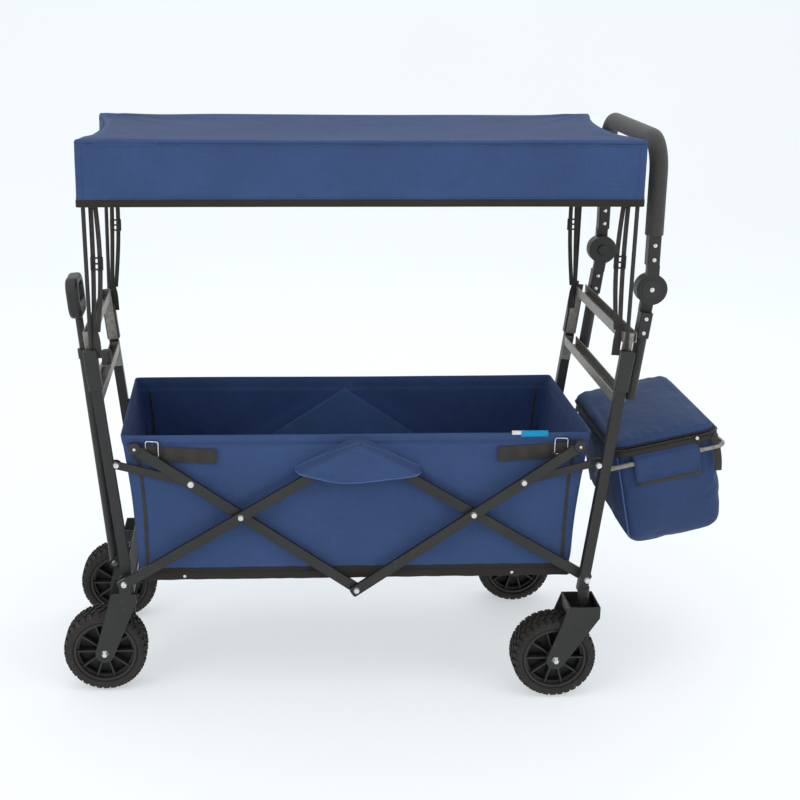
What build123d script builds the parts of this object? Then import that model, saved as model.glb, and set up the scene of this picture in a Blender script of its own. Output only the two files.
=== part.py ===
from build123d import *
import os
from math import atan2, cos, degrees, hypot, radians, sin, tan

# Folding beach cart. Millimetres, +Z up, X along the cart, drawbar end at -X, floor at Z = 0.
# Near pieces lie on the -Y side, and most are mirrored in the XZ plane to give the far ones.

# ---- driving dimensions -------------------------------------------------------------------
MID_X = -83.3            # middle of the tub, seen from the middle of the whole cart
LEAN = 7.0               # outward lean of the end frames, degrees
WHEEL_R = 85.0
WHEEL_WIDTH = 72.0
AXLE_R = 5.0
PIN_R = 4.0              # all rivets
FIT = 0.05               # radial clearance of every turning fit
GAP = 0.3                # clearance between bodies that slide past each other

# scissor pivots, half lengths measured from the middle of the tub
FOOT_X, FOOT_Z = 465.0, 246.0
CROSS_X, CROSS_Z = 231.5, 386.0
LOW_Z = 227.0
LINK_POST_X, LINK_POST_Z = 474.0, 491.0
LINK_BAR_X = 329.0
BAR_WIDTH, BAR_DEPTH, BAR_WALL = 20.0, 9.0, 1.5
LONG_BAR_END_X = 434.0
LINK_WIDTH, LINK_THICK = 16.0, 3.0

# layers, distances from the middle plane
INNER_BAR_Y = 217.5
OUTER_BAR_Y = 227.5
FRONT_LINK_Y = 213.5
REAR_LINK_Y = 223.5

# end frames
POST_W, POST_D, POST_WALL = 20.0, 18.0, 1.5
LUG_R, LUG_THICK = 10.0, 3.0
FRONT_POST_Y = 203.5
REAR_POST_Y = 236.5
POST_BASE_X, POST_BASE_Z = 459.0, 240.0
FRONT_POST_FOOT, REAR_POST_FOOT = 218.0, 222.0
POST_TOP = 700.0
SLEEVE_LOW, SLEEVE_HIGH = 643.0, 722.0
SLEEVE_W = 27.0
SLEEVE_WALL = 4.0
POLE_R = 4.0
POLE_TOP_X, POLE_TOP_Y = 519.0, 238.0
CROSSBAR_LOW_Z, CROSSBAR_HIGH_Z = 626.0, 745.0
CHANNEL_H, CHANNEL_WALL = 20.0, 2.0
END_PLATE = 3.0
RAIL = 22.0

# soft goods
TUB_RIM_X, TUB_BASE_X = 460.0, 440.0
TUB_HALF_WIDTH = 212.0
TUB_FLOOR_Z, TUB_RIM_Z = 257.0, 550.0
TUB_WALL, TUB_FLOOR = 4.0, 6.0
CANOPY_X, CANOPY_Y = 527.0, 250.0
CANOPY_LOW, CANOPY_TOP = 1003.0, 1127.0
CANOPY_WALL = 3.0

# wheels and forks
FRONT_AXLE_X = 510.0
FRONT_WHEEL_Y = 175.0
CASTER_X, CASTER_TRAIL = 461.0, 58.0
FORK_PLATE = 3.0
FORK_CLEAR = 1.5
FORK_EYE_R, TONGUE_R = 19.0, 12.0
FORK_SHOULDER_BACK, FORK_SHOULDER_Z, FORK_SHOULDER_W = 3.5, 206.0, 50.0
FORK_BRIDGE_Z = 178.0
CROWN_LOW, CROWN_HIGH = 177.0, 201.0
CROWN_BACK, CROWN_W = 4.5, 63.0
RIM_R, RIM_WALL, RIM_WIDTH = 64.0, 5.0, 62.0
DISC_THICK, HUB_CORE_R = 8.0, 16.0
SPOKES, SPOKE_THICK = 10, 3.5
TYRE_SHOULDER = 9.0
TREAD_GROOVE_Y, TREAD_GROOVE, TREAD_DEPTH = 9.0, 3.0, 4.0
SOCKET_R, SOCKET_TOP = 11.5, 229.0
STEM_R, STEM_TOP = 8.0, 236.0

# push handle
ARM_Y, ARM_R = 205.0, 12.0
ARM_OFFSET = 30.0
HUB_Z, HUB_R = 838.0, 30.0
HUB_THICK = 14.0
HUB_PIN_R = 9.0
LOWER_ARM_END, LOWER_LINK_END = 617.0, 742.0
UPPER_LINK_END = 943.0
GRIP_R, GRIP_Z, GRIP_BEND = 17.5, 1121.0, 60.0
LINK_BLOCK_W, LINK_BLOCK_D, LINK_BLOCK_START = 24.0, 28.0, 46.0
HUB_PIN_DEEP = 7.0
BUTTON_R, BUTTON_POCKET, BUTTON_PROUD, BUTTON_TRAVEL = 11.0, 5.0, 4.0, 3.0

# drawbar
DRAW_X, DRAW_Z, DRAW_LEAN = 503.0, 200.0, 6.0
DRAW_TUBE_R, DRAW_TUBE_LEN = 11.0, 475.0
ROD_R, ROD_START, ROD_END = 8.0, 190.0, 545.0
DGRIP_W, DGRIP_H, DGRIP_D = 104.0, 84.0, 26.0
DGRIP_HOLE_W, DGRIP_HOLE_H, DGRIP_RISE, DGRIP_EDGE = 68.0, 38.0, 6.0, 7.0
COLLAR_LEN = 20.0
EAR_THICK, EAR_W = 4.0, 24.0
RAIL_Z = 227.0
PARK_DROP, PARK_TOP, PARK_HALF = 44.0, 20.0, 13.0
KNOB_R, KNOB_H = 10.0, 30.0

# cooler bag
BAG_X, BAG_Z, BAG_TILT = 517.0, 500.0, 12.0
BAG_LEN, BAG_HALF_WIDTH, BAG_DEEP = 214.0, 190.0, 225.0
BAG_TAPER, BAG_WALL, BAG_ROUND = 3.0, 10.0, 16.0
LID_THICK, LID_INSET = 22.0, 3.0
CARRIER_Z, CARRIER_R, CARRIER_LEN, CARRIER_PLAY = 462.0, 5.0, 212.0, 2.0

# fasteners
HEAD_R, HEAD_H, HEAD_TAPER = 7.0, 3.2, 30.0
BACK_HEAD_R, BACK_HEAD_H = 6.0, 3.0
BOLT_HEX_R, BOLT_HEAD = 9.0, 6.0

os.makedirs("parts", exist_ok=True)


def front(x):
    """X of a point on the drawbar side, given its distance from the middle of the tub."""
    return MID_X - x


def rear(x):
    """X of a point on the push-handle side."""
    return MID_X + x


def post_reach(z):
    """Distance of the post's centre line from the middle of the tub at a height."""
    return POST_BASE_X + (z - POST_BASE_Z) * tan(radians(LEAN))


def side(distance):
    """Upright plane on the near side, facing outward, at a distance from the middle plane."""
    return Plane.XZ.offset(distance)


def post_plane(end, y, z):
    """Plane square to a leaning post; end is -1 for the drawbar end and 1 for the other."""
    tilt = radians(LEAN)
    origin = (MID_X + end * post_reach(z), y, z)
    return Plane(origin=origin, x_dir=(cos(tilt), 0, -end * sin(tilt)), z_dir=(end * sin(tilt), 0, cos(tilt)))


def save(part, name):
    part.label = name
    export_step(part, f"parts/{name}.step")


# ---- end frame pieces ---------------------------------------------------------------------
def make_posts(end, y, foot, lug_y, sockets):
    length = (POST_TOP - foot) / cos(radians(LEAN))
    with BuildPart() as posts:
        with BuildSketch(post_plane(end, -y, foot)):
            Rectangle(POST_W, POST_D)
            Rectangle(POST_W - 2 * POST_WALL, POST_D - 2 * POST_WALL, mode=Mode.SUBTRACT)
        extrude(amount=length)
        with BuildSketch(side(lug_y)):
            with Locations((MID_X + end * (LINK_POST_X + post_reach(LINK_POST_Z)) / 2, LINK_POST_Z)):
                SlotCenterToCenter(post_reach(LINK_POST_Z) - LINK_POST_X, 2 * LUG_R)
        extrude(amount=LUG_THICK)
        if sockets:
            with BuildSketch(Plane.XY.offset(CROWN_HIGH + GAP)):
                with Locations((rear(CASTER_X), -y)):
                    Circle(SOCKET_R)
            extrude(amount=SOCKET_TOP - CROWN_HIGH - GAP)
            with BuildSketch(Plane.XY.offset(CROWN_HIGH)):
                with Locations((rear(CASTER_X), -y)):
                    Circle(STEM_R + FIT)
            extrude(amount=STEM_TOP + GAP - CROWN_HIGH, mode=Mode.SUBTRACT)
        mirror(about=Plane.XZ)
    return posts.part


def make_sleeves(end, y):
    """Moulded sockets on the post tops; the face towards the crossbar is flush with the post."""
    flush = y - POST_D / 2
    depth = POST_D + SLEEVE_WALL
    lower = (POST_TOP - SLEEVE_LOW) / cos(radians(LEAN))
    height = (SLEEVE_HIGH - SLEEVE_LOW) / cos(radians(LEAN))
    with BuildPart() as sleeves:
        with BuildSketch(post_plane(end, -flush - depth / 2, SLEEVE_LOW)):
            RectangleRounded(SLEEVE_W, depth, SLEEVE_WALL)
        extrude(amount=height)
        top = sleeves.faces().sort_by(Axis.Z)[-1]
        chamfer(top.edges(), SLEEVE_WALL / 2)
        with BuildSketch(post_plane(end, -y, SLEEVE_LOW)):
            Rectangle(POST_W, POST_D)
        extrude(amount=lower, mode=Mode.SUBTRACT)
        with BuildSketch(pole_plane(end, y)):
            Circle(POLE_R)
        extrude(amount=SLEEVE_HIGH - SLEEVE_LOW, both=True, mode=Mode.SUBTRACT)
        mirror(about=Plane.XZ)
    return sleeves.part


def pole_plane(end, y):
    """Plane square to a canopy pole at the foot of the pole, on the post's top."""
    foot = Vector(MID_X + end * post_reach(POST_TOP), -y, POST_TOP)
    tip = Vector(MID_X + end * POLE_TOP_X, -POLE_TOP_Y, CANOPY_TOP - CANOPY_WALL)
    return Plane(origin=foot, z_dir=tip - foot)


def make_poles(end, y):
    foot = Vector(MID_X + end * post_reach(POST_TOP), -y, POST_TOP)
    tip = Vector(MID_X + end * POLE_TOP_X, -POLE_TOP_Y, CANOPY_TOP - CANOPY_WALL)
    with BuildPart() as poles:
        with BuildSketch(pole_plane(end, y)):
            Circle(POLE_R)
        extrude(amount=(tip - foot).length - 2 * GAP)
        mirror(about=Plane.XZ)
    return poles.part


def make_crossbar(end, z, half, reach, plate_low):
    """Upright-sided channel between the posts, with a fixing plate at each end."""
    inner = -end * POST_W / 2
    outer = end * reach
    middle = (inner + outer) / 2
    width = abs(outer - inner)
    centre = MID_X + end * post_reach(z)
    plate_span = (z + CHANNEL_H / 2 - plate_low) / cos(radians(LEAN))
    with BuildPart() as crossbar:
        with BuildSketch(side(0)):
            with Locations((centre + middle, z)):
                Rectangle(width, CHANNEL_H)
            with Locations((centre + middle, z + CHANNEL_WALL)):
                Rectangle(width - 2 * CHANNEL_WALL, CHANNEL_H, mode=Mode.SUBTRACT)
        extrude(amount=half - END_PLATE, both=True)
        with BuildSketch(post_plane(end, -half + END_PLATE / 2, plate_low)):
            RectangleRounded(POST_W, END_PLATE, END_PLATE / 3)
        extrude(amount=plate_span)
        with BuildSketch(post_plane(end, half - END_PLATE / 2, plate_low)):
            RectangleRounded(POST_W, END_PLATE, END_PLATE / 3)
        extrude(amount=plate_span)
    return crossbar.part


def make_bottom_rail(end, half, z):
    centre = MID_X + end * post_reach(z)
    with BuildPart() as rail:
        with BuildSketch(side(0)):
            with Locations((centre, z)):
                RectangleRounded(RAIL, RAIL, POST_WALL * 2)
                Rectangle(RAIL - 2 * POST_WALL * 2, RAIL - 2 * POST_WALL * 2, mode=Mode.SUBTRACT)
        extrude(amount=half, both=True)
    return rail.part


# ---- scissor bars and links ---------------------------------------------------------------
def make_bar(start, end, y, pivots, over=12.0):
    """Open-backed channel bar from start to end, with a hole at each pivot."""
    run = hypot(end[0] - start[0], end[1] - start[1])
    turn = degrees(atan2(end[1] - start[1], end[0] - start[0]))
    middle = ((start[0] + end[0]) / 2, (start[1] + end[1]) / 2)
    with BuildPart() as bar:
        with BuildSketch(side(y)):
            with Locations(middle):
                RectangleRounded(run + 2 * over, BAR_WIDTH, BAR_WIDTH / 4, rotation=turn)
        extrude(amount=BAR_DEPTH)
        with BuildSketch(side(y)):
            with Locations(middle):
                Rectangle(run + 2 * over - 4 * BAR_WALL, BAR_WIDTH - 2 * BAR_WALL, rotation=turn)
        extrude(amount=BAR_DEPTH - BAR_WALL, mode=Mode.SUBTRACT)
        with BuildSketch(side(y)):
            with Locations(*pivots):
                Circle(PIN_R + FIT)
        extrude(amount=BAR_DEPTH, mode=Mode.SUBTRACT)
        mirror(about=Plane.XZ)
    return bar.part


def make_links(start, end, y, pivots):
    run = hypot(end[0] - start[0], end[1] - start[1])
    turn = degrees(atan2(end[1] - start[1], end[0] - start[0]))
    middle = ((start[0] + end[0]) / 2, (start[1] + end[1]) / 2)
    with BuildPart() as links:
        with BuildSketch(side(y)):
            with Locations(middle):
                SlotCenterToCenter(run, LINK_WIDTH, rotation=turn)
            with Locations(*pivots):
                Circle(PIN_R + FIT, mode=Mode.SUBTRACT)
        extrude(amount=LINK_THICK)
        mirror(about=Plane.XZ)
    return links.part


# ---- fasteners ----------------------------------------------------------------------------
def make_fasteners(shanks, heads):
    """Shanks are (x, z, from y, to y); heads are (x, z, seat y, height outward, radius)."""
    with BuildPart() as fasteners:
        for x, z, low, high in shanks:
            with BuildSketch(side(low)):
                with Locations((x, z)):
                    Circle(PIN_R)
            extrude(amount=high - low)
        for x, z, seat, height, radius in heads:
            with BuildSketch(side(seat)):
                with Locations((x, z)):
                    Circle(radius)
            extrude(amount=height, taper=HEAD_TAPER)
        mirror(about=Plane.XZ)
    return fasteners.part


def make_axle_bolt(x, y, half, both_sides):
    """Hexagon-headed bolt across a fork, with a nut on the inner plate."""
    with BuildPart() as bolt:
        with BuildSketch(Plane.XZ.offset(-y - half)):
            with Locations((x, WHEEL_R)):
                Circle(AXLE_R)
        extrude(amount=2 * half)
        with BuildSketch(Plane.XZ.offset(-y + half)):
            with Locations((x, WHEEL_R)):
                RegularPolygon(BOLT_HEX_R, 6)
        extrude(amount=BOLT_HEAD, taper=HEAD_TAPER)
        with BuildSketch(Plane.XZ.offset(-y - half)):
            with Locations((x, WHEEL_R)):
                RegularPolygon(BOLT_HEX_R, 6)
        extrude(amount=-BOLT_HEAD, taper=HEAD_TAPER)
        if both_sides:
            mirror(about=Plane.XZ)
    return bolt.part


# ---- wheels and forks ---------------------------------------------------------------------
def make_tyre(x, y):
    axle = Axis((x, y, WHEEL_R), (0, 1, 0))
    depth = WHEEL_R - RIM_R
    with BuildPart() as tyre:
        with BuildSketch(Plane((x, y, WHEEL_R))):
            with Locations((RIM_R + depth / 2, 0)):
                RectangleRounded(depth, WHEEL_WIDTH, TYRE_SHOULDER)
            with Locations((WHEEL_R, -TREAD_GROOVE_Y), (WHEEL_R, TREAD_GROOVE_Y)):
                Rectangle(2 * TREAD_DEPTH, TREAD_GROOVE, mode=Mode.SUBTRACT)
        revolve(axis=axle)
    return tyre.part


def make_rim(x, y):
    """Wheel centre: a stepped ring, a thin disc, a hub and raised spokes on both faces."""
    axle = Axis((x, y, WHEEL_R), (0, 1, 0))
    ring = RIM_R - RIM_WALL
    with BuildPart() as rim:
        with BuildSketch(Plane((x, y, WHEEL_R))):
            with Locations((RIM_R - RIM_WALL / 2, 0)):
                Rectangle(RIM_WALL, RIM_WIDTH)
            with Locations((ring - RIM_WALL / 2, 0)):
                Rectangle(RIM_WALL, RIM_WIDTH - 4 * RIM_WALL)
            with Locations(((ring + AXLE_R + FIT) / 2, 0)):
                Rectangle(ring - AXLE_R - FIT, DISC_THICK)
            with Locations(((HUB_CORE_R + AXLE_R + FIT) / 2, 0)):
                Rectangle(HUB_CORE_R - AXLE_R - FIT, WHEEL_WIDTH - RIM_WALL)
        revolve(axis=axle)
        with BuildSketch(Plane(origin=(x, y, WHEEL_R), x_dir=(1, 0, 0), z_dir=(0, -1, 0))):
            with PolarLocations((HUB_CORE_R + ring) / 2, SPOKES):
                Rectangle(ring - HUB_CORE_R + RIM_WALL, SPOKE_THICK)
        extrude(amount=RIM_WIDTH / 2 - RIM_WALL, both=True)
    return rim.part


def make_front_forks():
    """Fixed forks: two plates either side of each wheel, joined by a bridge over the tyre."""
    half = WHEEL_WIDTH / 2 + FORK_CLEAR
    outer = FRONT_WHEEL_Y + half
    inner = FRONT_WHEEL_Y - half
    axle_x = front(FRONT_AXLE_X)
    shoulder_x = front(FOOT_X + FORK_SHOULDER_BACK)
    with BuildPart() as forks:
        for start, thick in ((outer, FORK_PLATE), (inner, -FORK_PLATE)):
            with BuildSketch(side(start)):
                with Locations((axle_x, WHEEL_R)):
                    Circle(FORK_EYE_R)
                with Locations((shoulder_x, FORK_SHOULDER_Z)):
                    Rectangle(FORK_SHOULDER_W, CHANNEL_H)
                make_hull()
                with Locations((axle_x, WHEEL_R)):
                    Circle(AXLE_R, mode=Mode.SUBTRACT)
            extrude(amount=thick)
        with BuildSketch(side(outer)):
            with Locations((front(FOOT_X), FOOT_Z)):
                Circle(TONGUE_R)
            with Locations((front(FOOT_X), FORK_SHOULDER_Z + CHANNEL_H / 2)):
                Rectangle(2 * TONGUE_R, FORK_PLATE)
            make_hull()
            with Locations((front(FOOT_X), FOOT_Z)):
                Circle(PIN_R + FIT, mode=Mode.SUBTRACT)
        extrude(amount=FORK_PLATE)
        with BuildSketch(Plane.XY.offset(FORK_BRIDGE_Z)):
            with Locations((shoulder_x, -FRONT_WHEEL_Y)):
                Rectangle(FORK_SHOULDER_W - FORK_PLATE * 2, 2 * half)
        extrude(amount=FORK_PLATE)
        mirror(about=Plane.XZ)
    return forks.part


def make_caster_fork(y):
    """Swivel fork: stem, tray-shaped crown and two raked plates down to the axle."""
    half = WHEEL_WIDTH / 2 + FORK_CLEAR
    axle_x = rear(CASTER_X - CASTER_TRAIL)
    crown_x = rear(CASTER_X - CROWN_BACK)
    with BuildPart() as fork:
        for start, thick in ((-y + half, FORK_PLATE), (-y - half, -FORK_PLATE)):
            with BuildSketch(Plane.XZ.offset(start)):
                with Locations((axle_x, WHEEL_R)):
                    Circle(FORK_EYE_R)
                with Locations((crown_x, (CROWN_LOW + CROWN_HIGH) / 2)):
                    Rectangle(CROWN_W, CROWN_HIGH - CROWN_LOW)
                make_hull()
                with Locations((axle_x, WHEEL_R)):
                    Circle(AXLE_R, mode=Mode.SUBTRACT)
            extrude(amount=thick)
        with BuildSketch(Plane.XY.offset(CROWN_LOW)):
            with Locations((crown_x, y)):
                Rectangle(CROWN_W, 2 * half)
        extrude(amount=CROWN_HIGH - CROWN_LOW)
        with BuildSketch(Plane.XY.offset(CROWN_LOW + FORK_PLATE)):
            with Locations((crown_x, y)):
                Rectangle(CROWN_W - 2 * FORK_PLATE, 2 * half)
        extrude(amount=CROWN_HIGH - CROWN_LOW, mode=Mode.SUBTRACT)
        with BuildSketch(Plane.XY.offset(CROWN_LOW + FORK_PLATE)):
            with Locations((rear(CASTER_X), y)):
                Circle(SOCKET_R)
        extrude(amount=CROWN_HIGH - CROWN_LOW - FORK_PLATE)
        with BuildSketch(Plane.XY.offset(CROWN_HIGH)):
            with Locations((rear(CASTER_X), y)):
                Circle(STEM_R)
        extrude(amount=STEM_TOP - CROWN_HIGH)
    return fork.part


# ---- push handle --------------------------------------------------------------------------
def hub_reach():
    return post_reach(HUB_Z) + ARM_OFFSET


def arm_plane(z):
    """Plane square to the near lower arm, which runs parallel to the rear post."""
    tilt = radians(LEAN)
    origin = (rear(post_reach(z) + ARM_OFFSET), -ARM_Y, z)
    return Plane(origin=origin, x_dir=(cos(tilt), 0, -sin(tilt)), z_dir=(sin(tilt), 0, cos(tilt)))


def make_lower_arms():
    with BuildPart() as arms:
        with BuildSketch(arm_plane(LOWER_ARM_END)):
            Circle(ARM_R)
            Circle(ARM_R - POST_WALL, mode=Mode.SUBTRACT)
        extrude(amount=(LOWER_LINK_END - LOWER_ARM_END) / cos(radians(LEAN)))
        mirror(about=Plane.XZ)
    return arms.part


def make_lower_hubs():
    """Moulded links on the lower arms: a block, a neck and the inner half of the hub."""
    inner = ARM_Y - HUB_THICK
    block_top = HUB_Z - LINK_BLOCK_START
    neck = (HUB_Z + block_top) / 2
    with BuildPart() as hubs:
        with BuildSketch(arm_plane(LOWER_LINK_END)):
            RectangleRounded(LINK_BLOCK_W, LINK_BLOCK_D, POST_WALL * 2)
        extrude(amount=(block_top - LOWER_LINK_END) / cos(radians(LEAN)))
        with BuildSketch(side(inner)):
            with Locations((rear(hub_reach()), HUB_Z)):
                Circle(HUB_R)
            with Locations((rear(post_reach(neck) + ARM_OFFSET), neck)):
                Rectangle(LINK_BLOCK_W, HUB_Z - block_top + 2 * POST_WALL, rotation=-LEAN)
        extrude(amount=HUB_THICK - GAP / 2)
        with BuildSketch(side(ARM_Y - HUB_PIN_DEEP)):
            with Locations((rear(hub_reach()), HUB_Z)):
                Circle(HUB_PIN_R + FIT)
        extrude(amount=HUB_PIN_DEEP, mode=Mode.SUBTRACT)
        with BuildSketch(side(inner)):
            with Locations((rear(hub_reach()), HUB_Z)):
                Circle(BUTTON_R + FIT)
        extrude(amount=BUTTON_POCKET, mode=Mode.SUBTRACT)
        mirror(about=Plane.XZ)
    return hubs.part


def make_upper_hubs():
    """Moulded links on the push handle: the outer half of the hub, its pin, a neck and a block."""
    block_low = HUB_Z + LINK_BLOCK_START
    with BuildPart() as hubs:
        with BuildSketch(Plane((rear(hub_reach()), -ARM_Y, block_low))):
            RectangleRounded(LINK_BLOCK_W, LINK_BLOCK_D, POST_WALL * 2)
        extrude(amount=UPPER_LINK_END - block_low)
        with BuildSketch(side(ARM_Y + GAP / 2)):
            with Locations((rear(hub_reach()), HUB_Z)):
                Circle(HUB_R)
            with Locations((rear(hub_reach()), (HUB_Z + block_low) / 2)):
                Rectangle(LINK_BLOCK_W, block_low - HUB_Z + 2 * POST_WALL)
        extrude(amount=HUB_THICK - GAP / 2)
        with BuildSketch(side(ARM_Y - HUB_PIN_DEEP + GAP)):
            with Locations((rear(hub_reach()), HUB_Z)):
                Circle(HUB_PIN_R)
        extrude(amount=HUB_PIN_DEEP)
        mirror(about=Plane.XZ)
    return hubs.part


def make_hub_button(direction):
    """Round push button in the inner face of a hub; direction is -1 near and 1 far."""
    seat = ARM_Y - HUB_THICK + BUTTON_POCKET - BUTTON_TRAVEL - GAP
    with BuildPart() as button:
        with BuildSketch(Plane(origin=(0, direction * seat, 0), x_dir=(1, 0, 0), z_dir=(0, -1, 0))):
            with Locations((rear(hub_reach()), HUB_Z)):
                Circle(BUTTON_R)
        extrude(amount=direction * (BUTTON_POCKET - BUTTON_TRAVEL - GAP + BUTTON_PROUD))
        proud = button.faces().sort_by(Axis.Y)[0 if direction > 0 else -1]
        fillet(proud.edges(), POST_WALL)
    return button.part


def make_handle_loop(outer, inner):
    """U-shaped loop between the two upper links, a ring section swept round two bends."""
    plane = Plane.YZ.offset(rear(hub_reach()))
    with BuildPart() as loop:
        with BuildLine(plane) as path:
            FilletPolyline(
                (-ARM_Y, UPPER_LINK_END),
                (-ARM_Y, GRIP_Z),
                (ARM_Y, GRIP_Z),
                (ARM_Y, UPPER_LINK_END),
                radius=GRIP_BEND,
            )
        with BuildSketch(Plane((rear(hub_reach()), -ARM_Y, UPPER_LINK_END))):
            Circle(outer)
            Circle(inner, mode=Mode.SUBTRACT)
        sweep(path=path.line)
    return loop.part


# ---- drawbar ------------------------------------------------------------------------------
def drawbar_plane(distance):
    """Plane square to the drawbar, at a distance from its pivot."""
    tilt = radians(DRAW_LEAN)
    axis = Plane(origin=(front(DRAW_X), 0, DRAW_Z), x_dir=(cos(tilt), 0, sin(tilt)), z_dir=(-sin(tilt), 0, cos(tilt)))
    return axis.offset(distance)


def make_drawbar_tube():
    with BuildPart() as tube:
        with BuildSketch(drawbar_plane(-DRAW_TUBE_R)):
            Circle(DRAW_TUBE_R)
        extrude(amount=DRAW_TUBE_LEN + DRAW_TUBE_R)
        with BuildSketch(drawbar_plane(DRAW_TUBE_LEN - COLLAR_LEN)):
            Circle(DRAW_TUBE_R + CHANNEL_WALL)
        extrude(amount=COLLAR_LEN)
        with BuildSketch(drawbar_plane(-DRAW_TUBE_R)):
            Circle(ROD_R + FIT)
        extrude(amount=DRAW_TUBE_LEN + 2 * DRAW_TUBE_R, mode=Mode.SUBTRACT)
        with BuildSketch(Plane.XZ):
            with Locations((front(DRAW_X), DRAW_Z)):
                Circle(PIN_R + FIT)
        extrude(amount=2 * DRAW_TUBE_R, both=True, mode=Mode.SUBTRACT)
    return tube.part


def make_drawbar_rod():
    with BuildPart() as rod:
        with BuildSketch(drawbar_plane(ROD_START)):
            Circle(ROD_R)
        extrude(amount=ROD_END - ROD_START)
    return rod.part


def make_drawbar_grip():
    """D-shaped loop handle that stands across the cart."""
    centre = drawbar_plane(ROD_END + DGRIP_H / 2)
    face = Plane(origin=centre.origin, x_dir=(0, 1, 0), z_dir=centre.x_dir)
    with BuildPart() as grip:
        with BuildSketch(face):
            RectangleRounded(DGRIP_W, DGRIP_H, DGRIP_H / 3)
            with Locations((0, DGRIP_RISE)):
                RectangleRounded(DGRIP_HOLE_W, DGRIP_HOLE_H, DGRIP_HOLE_H / 3, mode=Mode.SUBTRACT)
        extrude(amount=DGRIP_D / 2, both=True)
        rims = grip.faces().filter_by(Axis(face.origin, face.z_dir)).edges()
        fillet(rims, DGRIP_EDGE)
    return grip.part


def make_drawbar_bracket():
    """Two ears in front of the bottom rail that carry the drawbar's pivot pin."""
    rail_face = post_reach(RAIL_Z) + RAIL / 2
    with BuildPart() as bracket:
        with BuildSketch(side(DRAW_TUBE_R + 1)):
            with Locations((front(DRAW_X), DRAW_Z)):
                Circle(EAR_W / 2)
            with Locations((front(rail_face + EAR_THICK / 2), RAIL_Z)):
                Rectangle(EAR_THICK, RAIL)
            make_hull()
            with Locations((front(DRAW_X), DRAW_Z)):
                Circle(PIN_R + FIT, mode=Mode.SUBTRACT)
        extrude(amount=EAR_THICK)
        mirror(about=Plane.XZ)
        with BuildSketch(side(0)):
            with Locations((front(rail_face + EAR_THICK / 2), RAIL_Z)):
                Rectangle(EAR_THICK, RAIL)
        extrude(amount=DRAW_TUBE_R + 1, both=True)
    return bracket.part


def make_drawbar_pin():
    with BuildPart() as pin:
        reach = DRAW_TUBE_R + 1 + EAR_THICK
        with BuildSketch(side(0)):
            with Locations((front(DRAW_X), DRAW_Z)):
                Circle(PIN_R)
        extrude(amount=reach, both=True)
        with BuildSketch(side(reach)):
            with Locations((front(DRAW_X), DRAW_Z)):
                Circle(HEAD_R)
        extrude(amount=HEAD_H, taper=HEAD_TAPER)
        with BuildSketch(side(-reach)):
            with Locations((front(DRAW_X), DRAW_Z)):
                Circle(HEAD_R)
        extrude(amount=-HEAD_H, taper=HEAD_TAPER)
    return pin.part


def make_parking_plate():
    """Angle bracket on the lower front crossbar, with a flat top for the rest knob."""
    face = post_reach(CROSSBAR_LOW_Z) + POST_W / 2
    top = CROSSBAR_LOW_Z + CHANNEL_H / 2
    with BuildPart() as plate:
        with BuildSketch(side(0)):
            with Locations((front(face + END_PLATE / 2), top - PARK_DROP / 2 + END_PLATE / 2)):
                Rectangle(END_PLATE, PARK_DROP + END_PLATE)
            with Locations((front(face - PARK_TOP / 2), top + END_PLATE / 2)):
                Rectangle(PARK_TOP, END_PLATE)
        extrude(amount=PARK_HALF, both=True)
    return plate.part


def make_parking_knob():
    face = post_reach(CROSSBAR_LOW_Z) + POST_W / 2
    low = CROSSBAR_LOW_Z + CHANNEL_H / 2 + END_PLATE
    with BuildPart() as knob:
        with BuildSketch(Plane.XY.offset(low)):
            with Locations((front(face - PARK_TOP / 2), 0)):
                Circle(KNOB_R)
        extrude(amount=KNOB_H)
        fillet(knob.faces().sort_by(Axis.Z)[-1].edges(), KNOB_R / 3)
    return knob.part


# ---- tub and canopy -----------------------------------------------------------------------
def tub_outline(inset):
    """Corners of the tub's side seen square on, with its sloping ends moved in by an inset."""
    return [
        (front(TUB_BASE_X - inset), TUB_FLOOR_Z),
        (rear(TUB_BASE_X - inset), TUB_FLOOR_Z),
        (rear(TUB_RIM_X - inset), TUB_RIM_Z),
        (front(TUB_RIM_X - inset), TUB_RIM_Z),
    ]


def make_tub_side_walls():
    with BuildPart() as walls:
        with BuildSketch(side(TUB_HALF_WIDTH - TUB_WALL)):
            Polygon(*tub_outline(TUB_WALL + GAP), align=None)
        extrude(amount=TUB_WALL)
        mirror(about=Plane.XZ)
    return walls.part


def make_tub_floor():
    half = TUB_BASE_X - TUB_WALL - GAP
    with BuildPart() as floor:
        with BuildSketch(Plane.XY.offset(TUB_FLOOR_Z)):
            with Locations((MID_X, 0)):
                Rectangle(2 * half, 2 * (TUB_HALF_WIDTH - TUB_WALL - GAP))
        extrude(amount=TUB_FLOOR)
    return floor.part


def make_tub_end_wall(end):
    """Sloping end panel; end is -1 at the drawbar and 1 at the push handle."""
    corners = [
        (MID_X + end * TUB_BASE_X, TUB_FLOOR_Z),
        (MID_X + end * TUB_RIM_X, TUB_RIM_Z),
        (MID_X + end * (TUB_RIM_X - TUB_WALL), TUB_RIM_Z),
        (MID_X + end * (TUB_BASE_X - TUB_WALL), TUB_FLOOR_Z),
    ]
    with BuildPart() as wall:
        with BuildSketch(side(0)):
            Polygon(*corners, align=None)
        extrude(amount=TUB_HALF_WIDTH, both=True)
    return wall.part


def make_canopy_top():
    with BuildPart() as top:
        with BuildSketch(Plane.XY.offset(CANOPY_TOP - CANOPY_WALL)):
            with Locations((MID_X, 0)):
                RectangleRounded(2 * CANOPY_X, 2 * CANOPY_Y, CANOPY_WALL)
        extrude(amount=CANOPY_WALL)
    return top.part


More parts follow.
